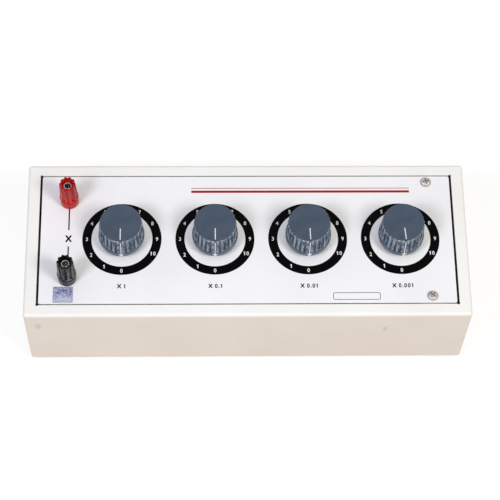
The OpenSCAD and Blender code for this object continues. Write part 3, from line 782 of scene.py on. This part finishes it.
def pan_screws(name, places, length, flip=False):
    """Pan-head screws with cross recesses, at (x, y, z, turn)."""
    profile = rounded(
        (0, -length, 0),
        (SCREW_SHANK, -length, 0.5),
        (SCREW_SHANK, 0, 0.1),
        (SCREW_HEAD, 0, 0.25),
        (SCREW_HEAD, SCREW_HEIGHT * 0.45, 0.7),
        (SCREW_HEAD * 0.66, SCREW_HEIGHT, 1.6),
        (0, SCREW_HEIGHT, 0),
    )
    head = lathe(profile, SCREW_SIDES)
    floor = SCREW_HEIGHT - RECESS_SINK
    screws = mesh_object(name, joined([moved(head, p[:3], p[3], flip) for p in places]))
    for x, y in ((RECESS_LENGTH, RECESS_WIDTH), (RECESS_WIDTH, RECESS_LENGTH)):
        arm = block((-x / 2, -y / 2, floor), (x / 2, y / 2, SCREW_HEIGHT + 1))
        cut(screws, joined([moved(arm, p[:3], p[3], flip) for p in places]))
    return screws


PANEL_SCREW_TURNS = (24, 71, 48, 12)
BASE_SCREW_TURNS = (33, 5, 62, 80)
PANEL_SCREW_LENGTH = 8.0
HEAD_SINK = 0.5
HEAD_SEAT = HEAD_SINK + SCREW_HEIGHT


def add_screws():
    """Four screws in the panel and four up through the feet, each at a turn of its own."""
    turned = zip(CORNERS, PANEL_SCREW_TURNS)
    on_panel = [(x * SCREW_X, y * SCREW_Y, PANEL_TOP, turn) for (x, y), turn in turned]
    screws = pan_screws("panel_screw_set", on_panel, PANEL_SCREW_LENGTH)
    dress(screws, ZINC, "case_body", "zinc", "panel_screws")
    turned = zip(CORNERS, BASE_SCREW_TURNS)
    below = [(x * FOOT_X, y * FOOT_Y, HEAD_SEAT, turn) for (x, y), turn in turned]
    length = box_mm("base_screws")[1].z - HEAD_SEAT
    screws = pan_screws("base_screw_set", below, length, flip=True)
    dress(screws, ZINC, "case_body", "zinc", "base_screws")


FOOT_RADIUS = 8.0
FOOT_TAPER = 0.8
FOOT_SINK = 4.2


def add_feet():
    """Four moulded feet with sunk screw holes."""
    top = box_mm("rubber_feet")[1].z
    profile = rounded(
        (SCREW_HOLE, HEAD_SEAT, 0.2),
        (FOOT_SINK, HEAD_SEAT, 0.2),
        (FOOT_SINK, 0, 0.5),
        (FOOT_RADIUS - FOOT_TAPER, 0, 1.1),
        (FOOT_RADIUS, top, 0.3),
        (SCREW_HOLE, top, 0.2),
    )
    foot = lathe(profile, FOOT_SIDES)
    feet = [moved(foot, (x * FOOT_X, y * FOOT_Y, 0)) for x, y in CORNERS]
    dress(mesh_object("rubber_foot_set", joined(feet)), RUBBER, "case_body", "rubber", "rubber_feet")


LABEL_THICK = 0.12
LABEL_STEP = 0.35
LABEL_GAP = 0.02
LABEL_DOME = 5.2
LABEL_RISE = 2.5


def add_seal():
    """A blank film pressed down over the front left screw."""
    low, high = box_mm("seal_label")
    columns = round((high.x - low.x) / LABEL_STEP)
    rows = round((high.y - low.y) / LABEL_STEP)
    head = Vector((-SCREW_X, -SCREW_Y))

    def height(x, y):
        off = Vector((x, y)) - head
        return PANEL_TOP + LABEL_GAP + LABEL_RISE * math.exp(-((off.length / LABEL_DOME) ** 4))

    verts = []
    for lift in (0, LABEL_THICK):
        for j in range(rows + 1):
            for i in range(columns + 1):
                x = low.x + (high.x - low.x) * i / columns
                y = low.y + (high.y - low.y) * j / rows
                verts.append(Vector((x, y, height(x, y) + lift)))
    layer = (columns + 1) * (rows + 1)
    faces = []
    for j in range(rows):
        for i in range(columns):
            a = j * (columns + 1) + i
            quad = (a, a + 1, a + columns + 2, a + columns + 1)
            faces.append(tuple(reversed(quad)))
            faces.append(tuple(v + layer for v in quad))
    rim = list(range(columns))
    rim += [j * (columns + 1) + columns for j in range(rows)]
    rim += [rows * (columns + 1) + i for i in range(columns, 0, -1)]
    rim += [j * (columns + 1) for j in range(rows, 0, -1)]
    for a, b in zip(rim, rim[1:] + rim[:1]):
        faces.append((a, b, b + layer, a + layer))
    dress(mesh_object("seal_film", (verts, faces)), FILM, "case_body", "label_paper", "seal_label")


# Prints on the panel


PRINT_LOW = PANEL_TOP - 0.01
PRINT_HIGH = PANEL_TOP + 0.03
FIGURE_HIGH = PRINT_HIGH + 0.02
RING_OUT = 28.6
RING_IN = 22.0
FIGURE_RADIUS = 25.3
FIGURE_SIZE = 2.85
FIGURE_BOLD = 0.075
FIGURE_START = -90
FIGURE_STEP = 30
LAST_FIGURE = 10
TEN_LEAD = 2.5
LEGENDS = {1: "× 1", 2: "× 0.1", 3: "× 0.01", 4: "× 0.001"}
LEGEND_Y = -37.5
LEGEND_SIZE = 3.1
LEGEND_BOLD = 0.13
RULE_X = (-40.6, 119.4)
# The rule and its hair line, each (y, width)
RULES = ((38.6, 1.9), (41.4, 0.5))
FRAME_MIDDLE = Vector((77.7, -45.85))
FRAME_HALF = Vector((17.0, 2.85))
FRAME_CORNER = 1.5
FRAME_LINE = 0.4
LINE_WIDTH = 0.95
LINE_SPANS = ((25.0, 7.4), (-5.8, -24.4))
CROSS_Y = 0.5
CROSS_HALF_X = 1.95
CROSS_HALF_Y = 2.6
CROSS_STROKE = 1.2


def add_print(name, shapes, material):
    """One piece of ink on the panel."""
    dress(mesh_object(name, joined(shapes)), material, "case_body", "panel_paint")


def add_dial_prints():
    """A black ring, its white figures and a plain multiplier for each dial."""
    for i, dial in DIALS.items():
        edges = [circle(dial.x, dial.y, RING_OUT), circle(dial.x, dial.y, RING_IN)]
        add_print(f"dial_ring_{i}", [print_shape(edges, PRINT_LOW, PRINT_HIGH)], BLACK_INK)
        figures = []
        for number in range(LAST_FIGURE + 1):
            lead = TEN_LEAD if number == LAST_FIGURE else 0
            turn = math.radians(FIGURE_START - FIGURE_STEP * number + lead)
            place = (dial.x + FIGURE_RADIUS * math.cos(turn), dial.y + FIGURE_RADIUS * math.sin(turn))
            look = (FIGURE_SIZE, FIGURE_BOLD, PRINT_LOW, FIGURE_HIGH)
            figures.append(text_shape(str(number), *look, place, FIGURE_GAP))
        add_print(f"dial_figures_{i}", figures, WHITE_INK)
        place = (dial.x, LEGEND_Y)
        words = text_shape(LEGENDS[i], LEGEND_SIZE, LEGEND_BOLD, PRINT_LOW, PRINT_HIGH, place)
        add_print(f"multiplier_{i}", [words], BLACK_INK)


def add_other_prints():
    """A plain red rule, an empty frame, and the line and cross between the posts."""
    rules = [bar(RULE_X[0], y, RULE_X[1], y, width) for y, width in RULES]
    add_print("red_rule", [print_shape(rules, PRINT_LOW, PRINT_HIGH)], RED_INK)
    edges = []
    for inset in (0, FRAME_LINE):
        ring = rectangle(FRAME_HALF.x - inset, FRAME_HALF.y - inset, FRAME_CORNER - inset, 0)
        edges.append([(FRAME_MIDDLE.x + x, FRAME_MIDDLE.y + y) for x, y, _ in ring])
    add_print("empty_frame", [print_shape(edges, PRINT_LOW, PRINT_HIGH)], BLACK_INK)
    x = POSTS["red"].x
    lines = [bar(x, y0, x, y1, LINE_WIDTH) for y0, y1 in LINE_SPANS]
    lines.append(cross_outline(x, CROSS_Y, CROSS_HALF_X, CROSS_HALF_Y, CROSS_STROKE))
    strokes = [print_shape([line], PRINT_LOW, PRINT_HIGH) for line in lines]
    add_print("post_line", strokes, BLACK_INK)


# Knobs, drawn with their pointers to the front


SKIRT_RADIUS = half_width("knob_1")
SKIRT_HEIGHT = 4.2
SKIRT_STEP = 0.5
FLUTE_LOW = SKIRT_RADIUS - SKIRT_STEP
FLUTE_TOP = 15.2
BODY_HEIGHT = KNOB_TOP - KNOB_Z
WALL = 2.8
FLUTES = 28
FLUTE_RADIUS = 1.1
FLUTE_DEPTH = 0.7
FLUTE_FROM = 14.2
FLUTE_EASE = 1.4
FLUTE_SIDES = 12
CAP_RADIUS = half_width("knob_cap_1")
CAP_HEIGHT = 2.0
CAP_EDGE = 0.6
CAP_GROOVE = 0.4
SPIGOT_RADIUS = 12.2
SPIGOT_DEPTH = 1.8
RECESS_DEPTH = 2.0
POCKET_RADIUS = 7.0
POCKET_DEPTH = 3.6
DECK = 1.5
BORE_RADIUS = 4.52
HUB_RECESS = 0.8
KNOB_LEAN = (FLUTE_LOW - FLUTE_TOP) / (BODY_HEIGHT - SKIRT_HEIGHT)
KNOB_RIDGE = FLUTE_LOW + KNOB_LEAN * SKIRT_HEIGHT
# Pale streaks in the flutes, a little inside the line of their ridges: settled grime and painted
# highlight
KNOB_BAND = (KNOB_LEAN, (FLUTE_FROM, FLUTE_FROM + 0.2), (KNOB_RIDGE - 0.45, KNOB_RIDGE - 0.1))
KNOB_PLASTIC = moulding(
    "slate_gloss", rgb(54, 70, 87), rgb(72, 90, 109), rgb(120, 124, 128), 0.1, 0.08, 0.6,
    rgb(172, 187, 205), KNOB_BAND,
)


def flute_depth(across, radius, depth, run):
    """How far a round groove cuts in, across from its middle; run is 1 where its run-out ends."""
    ease = min(run, 1)
    full = max(math.sqrt(max(radius * radius - across * across, 0)) - (radius - depth), 0)
    return full * ease * (2 - ease)


def side_points(low, top, shares):
    """Corners on a straight side from one (radius, height) to another, at shares of its length."""
    return [(*(a + (b - a) * share for a, b in zip(low, top)), 0) for share in shares]


def knob_swell(radius, height, turn):
    """Draws the knob's side in along its flutes, which run out above the skirt."""
    if radius < FLUTE_FROM or height <= SKIRT_HEIGHT:
        return radius
    place = (turn / TAU + 0.25) * FLUTES % 1
    across = abs(place - 0.5) * TAU * radius / FLUTES
    run = (height - SKIRT_HEIGHT) / FLUTE_EASE
    return radius - flute_depth(across, FLUTE_RADIUS, FLUTE_DEPTH, run)


def knob_profile():
    """The knob's section: skirt, fluted side, seat of the cap, hub and hollow underside."""
    floor = BODY_HEIGHT - RECESS_DEPTH
    pocket = floor - POCKET_DEPTH
    side = side_points((FLUTE_LOW, SKIRT_HEIGHT), (FLUTE_TOP, BODY_HEIGHT), (0.02, 0.05, 0.09, 0.5))
    return rounded(
        (SKIRT_RADIUS - WALL, 0, 0.3),
        (SKIRT_RADIUS, 0, 0.4),
        (SKIRT_RADIUS, SKIRT_HEIGHT - SKIRT_STEP, 0.3),
        (FLUTE_LOW, SKIRT_HEIGHT, 0.12),
        *side,
        (FLUTE_TOP, BODY_HEIGHT, 0.45),
        (SPIGOT_RADIUS + 0.1, BODY_HEIGHT, 0.1),
        (SPIGOT_RADIUS + 0.1, floor, 0),
        (POCKET_RADIUS, floor, 0),
        (POCKET_RADIUS, pocket, 0),
        (BORE_RADIUS, pocket, 0),
        (BORE_RADIUS, HUB_RECESS, 0.2),
        (POCKET_RADIUS, HUB_RECESS, 0.3),
        (POCKET_RADIUS, pocket - DECK, 0.4),
        (SKIRT_RADIUS - WALL, pocket - DECK, 0.4),
        steps=4,
    )


def cap_profile():
    """The cap's section, from its spigot to its flat face."""
    return rounded(
        (0, -SPIGOT_DEPTH, 0),
        (SPIGOT_RADIUS, -SPIGOT_DEPTH, 0.2),
        (SPIGOT_RADIUS, 0, 0),
        (CAP_RADIUS - CAP_GROOVE, 0, 0),
        (CAP_RADIUS - CAP_GROOVE, CAP_GROOVE, 0),
        (CAP_RADIUS, CAP_GROOVE, 0.12),
        (CAP_RADIUS, CAP_HEIGHT, CAP_EDGE),
        (0, CAP_HEIGHT, 0),
        steps=6,
    )


POINTER_WIDTH = 0.65
POINTER_LIFT = 0.03
POINTER_SINK = 0.12
TOP_LINE = (5.0, 13.9)
SIDE_LINE_END = 0.8
ARROW_WIDTH = 3.8
ARROW_LOW = 0.3
ARROW_TOP = 3.5
ARROW_COLUMNS = 6
ARROW_CURVE = 1.7


def strip(path):
    """A painted line on a knob, along (radius, height) points towards the front."""
    rings = []
    for i, point in enumerate(path):
        along = (path[min(i + 1, len(path) - 1)] - path[max(i - 1, 0)]).normalized()
        out = Vector((along.y, -along.x))
        if out.x + out.y < 0:
            out = -out
        high = point + out * POINTER_LIFT
        low = point - out * POINTER_SINK
        half = POINTER_WIDTH / 2
        section = ((-half, low), (half, low), (half, high), (-half, high))
        rings.append([(x, -level.x, level.y) for x, level in section])
    return loft(rings)


def arrowhead():
    """A white arrowhead on the smooth skirt, pointing down at the dial."""
    out = SKIRT_RADIUS + POINTER_LIFT
    deep = SKIRT_RADIUS - POINTER_SINK
    rings = []
    for k in range(-ARROW_COLUMNS, ARROW_COLUMNS + 1):
        share = k / ARROW_COLUMNS
        turn = share * ARROW_WIDTH / 2 / SKIRT_RADIUS - TAU / 4
        low = ARROW_LOW + abs(share) ** ARROW_CURVE * (ARROW_TOP - ARROW_LOW - POINTER_LIFT)
        section = ((out, low), (out, ARROW_TOP), (deep, ARROW_TOP), (deep, low))
        rings.append([(r * math.cos(turn), r * math.sin(turn), z) for r, z in section])
    return loft(rings)


def add_knobs():
    """Fluted knobs with satin caps and white pointers, each turned as it is clamped."""
    knob = lathe(knob_profile(), FLUTES * FLUTE_SIDES, knob_swell)
    cap = lathe(cap_profile(), CAP_SIDES)
    top_line = strip([Vector((r, BODY_HEIGHT + CAP_HEIGHT)) for r in TOP_LINE])
    skirt_ends = (ARROW_TOP - POINTER_WIDTH / 2, SKIRT_HEIGHT - SKIRT_STEP)
    skirt = [Vector((SKIRT_RADIUS, z)) for z in skirt_ends]
    foot = Vector((FLUTE_LOW, SKIRT_HEIGHT))
    crown = Vector((FLUTE_TOP, BODY_HEIGHT))
    along = (crown - foot).normalized()
    side_line = strip([*skirt, foot, crown - along * SIDE_LINE_END])
    pointer = joined([top_line, side_line, arrowhead()])
    for i, dial in DIALS.items():
        body = f"dial_{i}"
        turn = POINTER_SKEW[i]
        made = mesh_object(f"knob_fluted_{i}", knob, (dial.x, dial.y, KNOB_Z), turn)
        dress(made, KNOB_PLASTIC, body, "knob_plastic", f"knob_{i}")
        made = mesh_object(f"knob_disc_{i}", cap, (dial.x, dial.y, KNOB_TOP), turn)
        dress(made, CAP_PLASTIC, body, "knob_cap_plastic", f"knob_cap_{i}")
        made = mesh_object(f"knob_pointer_{i}", pointer, (dial.x, dial.y, KNOB_Z), turn)
        dress(made, POINTER_PAINT, body, "knob_cap_plastic")


# Binding posts


POST_HEIGHT = POST_CAP_TOP - POST_CAP_Z
POST_RING = half_width("red_cap")
POST_RING_HEIGHT = 1.6
BARREL_LOW = 6.5
BARREL_TOP = 5.9
POST_BEVEL = 0.8
POST_MOUTH = 4.5
CLAMP_Z = POSTS["red"].z
STEM_RADIUS = half_width("terminal_posts")
POST_BORE = STEM_RADIUS + 0.1
POST_FLUTES = 10
POST_FLUTE_RADIUS = 1.6
POST_FLUTE_DEPTH = 0.8
POST_FLUTE_FROM = 4.4
POST_EASE = 0.9
POST_FLUTE_SIDES = 16
COLLAR_RADIUS = half_width("red_collar")
COLLAR_BORE = 2.1
SPIGOT = 4.0
CLAMP_RADIUS = half_width("red_clamp_washer")
TAIL_RADIUS = 2.0
SOCKET_RADIUS = 2.0
SOCKET_DEPTH = 13.0
SOCKET_LEAD = 0.35
WIRE_HOLE = 1.1
WIRE_HOLE_UP = 2.2
# Painted highlight: pale streaks on the ridges of the barrels, the last colour of each post plastic
POST_BAND = (0.0, (BARREL_LOW - 0.75, BARREL_LOW - 0.2), (BARREL_LOW + 0.02, BARREL_LOW + 0.2))
# In both post plastics the third colour is dark: painted shade in the flutes and along the foot of the
# barrel.
RED_PLASTIC = moulding(
    "red_gloss", rgb(184, 13, 16), rgb(160, 9, 12), rgb(62, 5, 7), 0.06, 0.1, 0.14,
    rgb(216, 52, 42), POST_BAND,
)
BLACK_PLASTIC = moulding(
    "black_gloss", rgb(5, 5, 7), rgb(9, 9, 11), rgb(3, 3, 4), 0.06, 0.1, 0.12,
    rgb(112, 113, 118), POST_BAND,
)


def post_swell(radius, height, turn):
    """Draws the barrel in along its flutes, which run out above the ring and through the crown."""
    if radius < POST_FLUTE_FROM or height <= POST_RING_HEIGHT:
        return radius
    place = turn / TAU * POST_FLUTES % 1
    across = abs(place - 0.5) * TAU * BARREL_LOW / POST_FLUTES
    run = (height - POST_RING_HEIGHT) / POST_EASE
    return radius - flute_depth(across, POST_FLUTE_RADIUS, POST_FLUTE_DEPTH, run)


def post_cap_profile():
    """A cap's section: ring, fluted barrel, and a mouth that narrows down to the end of the stem."""
    stem_end = box_mm("terminal_posts")[1].z
    foot = (BARREL_LOW, POST_RING_HEIGHT)
    side = side_points(foot, (BARREL_TOP, POST_HEIGHT), (0.02, 0.04, 0.07, 0.5))
    return rounded(
        (POST_BORE, 0, 0.2),
        (POST_RING, 0, 0.35),
        (POST_RING, POST_RING_HEIGHT - 0.4, 0.35),
        (BARREL_LOW, POST_RING_HEIGHT, 0.1),
        *side,
        (BARREL_TOP, POST_HEIGHT, POST_BEVEL),
        (POST_MOUTH, POST_HEIGHT, 0.2),
        (POST_BORE, stem_end - POST_CAP_Z, 0.2),
        steps=5,
    )


def collar_profile():
    """A collar's section, with the spigot that goes through the panel."""
    sink = PANEL_LOW.z - PANEL_TOP
    height = CLAMP_Z - PANEL_TOP
    return rounded(
        (COLLAR_BORE, sink, 0),
        (SPIGOT, sink, 0.2),
        (SPIGOT, 0, 0),
        (COLLAR_RADIUS, 0, 0.3),
        (COLLAR_RADIUS, height, 0.6),
        (COLLAR_BORE, height, 0.2),
    )


def washer_profile():
    """The section of a clamp washer."""
    high = POST_CAP_Z - CLAMP_Z
    corners = [(POST_BORE, 0, 0.1), (CLAMP_RADIUS, 0, 0.25), (CLAMP_RADIUS, high, 0.25)]
    return rounded(*corners, (POST_BORE, high, 0.1))


def stem_profile():
    """A stem's section: its thin tail, and the thicker end with the plug socket."""
    low, high = (corner.z for corner in box_mm("terminal_posts"))
    return rounded(
        (0, low, 0),
        (TAIL_RADIUS, low, 0.4),
        (TAIL_RADIUS, CLAMP_Z, 0),
        (STEM_RADIUS, CLAMP_Z, 0.1),
        (STEM_RADIUS, high, 0.3),
        (SOCKET_RADIUS + SOCKET_LEAD, high, 0.05),
        (SOCKET_RADIUS, high - SOCKET_LEAD, 0.1),
        (SOCKET_RADIUS, high - SOCKET_DEPTH, 0),
        (0, high - SOCKET_DEPTH, 0),
    )


def add_posts():
    """Caps, clamp washers and collars, and the two plated stems with their plug sockets."""
    cap = lathe(post_cap_profile(), POST_FLUTES * POST_FLUTE_SIDES, post_swell)
    collar = lathe(collar_profile(), COLLAR_SIDES)
    washer = lathe(washer_profile(), COLLAR_SIDES)
    plastics = {"red": RED_PLASTIC, "black": BLACK_PLASTIC}
    for colour, post in POSTS.items():
        slot = f"{colour}_plastic"
        made = mesh_object(f"{colour}_post_barrel", cap, (post.x, post.y, POST_CAP_Z))
        dress(made, plastics[colour], f"{colour}_post_cap", slot, f"{colour}_cap")
        made = mesh_object(f"{colour}_post_washer", washer, (post.x, post.y, CLAMP_Z))
        dress(made, NICKEL, f"{colour}_clamp", "nickel", f"{colour}_clamp_washer")
        made = mesh_object(f"{colour}_post_collar", collar, (post.x, post.y, PANEL_TOP))
        dress(made, plastics[colour], "case_body", slot, f"{colour}_collar")
    stem = lathe(stem_profile(), STEM_SIDES)
    stems = mesh_object("post_stems", joined([moved(stem, (p.x, p.y, 0)) for p in POSTS.values()]))
    verts, faces = rod(WIRE_HOLE, -2 * STEM_RADIUS, 2 * STEM_RADIUS)
    hole = [Matrix.Rotation(math.pi / 2, 4, "X") @ v for v in verts], faces
    cut(stems, joined([moved(hole, (p.x, p.y, CLAMP_Z + WIRE_HOLE_UP)) for p in POSTS.values()]))
    dress(stems, NICKEL, "case_body", "nickel", "terminal_posts")


# Nodes that stay as they are


def each(*names):
    """The nodes of these names in every decade."""
    return [f"{name}_{i}" for name in names for i in DECADES]


KEPT_NODES = (
    (CASE_PAINT, ["base_plate"]),
    (INSULATOR, ["terminal_insulators"]),
    (NICKEL, ["panel_nuts", "lock_washers"]),
    (BRASS, each("collet") + ["terminal_nuts", "solder_tags", "contact_clips"]),
    (STEEL, each("spindle", "switch_plate") + ["switch_studs", "stud_spacers", "stud_nuts"]),
    (STEEL, ["detent_springs", "panel_tabs"]),
    (BOARD, each("wafers", "rotors")),
    (DIPPED, each("capacitors")),
    (COPPER, ["common_bus", "return_bus"]),
)


def finish_kept_nodes():
    """Gives the solids that are kept their finishes."""
    for material, names in KEPT_NODES:
        for name in names:
            mesh = frame["nodes"][name].data
            mesh.materials.clear()
            mesh.materials.append(material)


# Light and floor


WORLD_LIGHT = 0.42
FLOOR_HALF = 4.0
FLOOR_GLOW = 0.72
FLOOR_SHADE = (0.34, 0.34, 0.34, 1)
# Name, place and size in metres, power and colour
LAMPS = (
    ("lamp_left", (-0.9, -0.8, 1.6), 0.5, 15.2, (0.89, 0.9, 1.0)),
    ("lamp_right", (0.9, -0.75, 1.6), 0.5, 15.7, (1.0, 0.96, 0.88)),
)


def seen(tree):
    """1 for rays from the camera and in reflections, and 0 for the light that falls on things."""
    path = tree.nodes.new("ShaderNodeLightPath")
    level = path.outputs["Is Camera Ray"]
    for kind in ("Is Glossy Ray", "Is Transmission Ray"):
        both = tree.nodes.new("ShaderNodeMath")
        both.operation = "MAXIMUM"
        tree.links.new(level, both.inputs[0])
        tree.links.new(path.outputs[kind], both.inputs[1])
        level = both.outputs[0]
    return level


def add_world():
    """White to look at, and a softer level as light."""
    world = bpy.data.worlds.new("studio")
    bpy.context.scene.world = world
    world.use_nodes = True
    tree = world.node_tree
    background = tree.nodes["Background"]
    background.inputs["Color"].default_value = (1, 1, 1, 1)
    level = tree.nodes.new("ShaderNodeMapRange")
    tree.links.new(seen(tree), level.inputs["Value"])
    level.inputs["To Min"].default_value = WORLD_LIGHT
    level.inputs["To Max"].default_value = 1.0
    tree.links.new(level.outputs[0], background.inputs["Strength"])


def add_floor():
    """A white floor that keeps a faint shadow."""
    finish = Finish("floor_white")
    tree = finish.tree
    cloud = finish.ramp(finish.noise(3, detail=3), 0.3, 0.7)
    tone = finish.mix(cloud, rgb(204, 174, 142), rgb(197, 167, 135))
    plain = finish.node("BsdfDiffuse", Color=tone)
    glow = finish.node("Emission", Color=(1, 1, 1, 1), Strength=FLOOR_GLOW)
    shade = finish.node("BsdfDiffuse", Color=FLOOR_SHADE)
    lit = finish.fill("AddShader", glow.outputs[0], shade.outputs[0])
    both = finish.fill("MixShader", seen(tree), plain.outputs[0], lit.outputs[0])
    finish.join(both.outputs[0], tree.nodes["Material Output"].inputs["Surface"])
    ring = rectangle(FLOOR_HALF / MM, FLOOR_HALF / MM, FLOOR_HALF / MM / 2, 0, steps=16)
    floor = mesh_object("floor", (ring, [tuple(range(len(ring)))]))
    floor.data.materials.append(finish.material)


def add_lamps():
    """Two broad lamps in front and above, cool to the left and warm to the right."""
    for name, place, size, power, colour in LAMPS:
        lamp = bpy.data.lights.new(name, "AREA")
        lamp.shape = "SQUARE"
        lamp.size = size
        lamp.energy = power
        lamp.color = colour
        obj = new_object(name, lamp)
        obj.location = place
        obj.rotation_euler = (-Vector(place)).to_track_quat("-Z", "Y").to_euler()


def write_size():
    """Brings the scene's placements up to date."""
    bpy.context.view_layer.update()


bpy.context.scene.view_settings.view_transform = "Standard"
add_camera()
add_case()
add_panel()
add_screws()
add_feet()
add_seal()
add_dial_prints()
add_other_prints()
add_knobs()
add_posts()
finish_kept_nodes()
add_world()
add_floor()
add_lamps()
write_size()
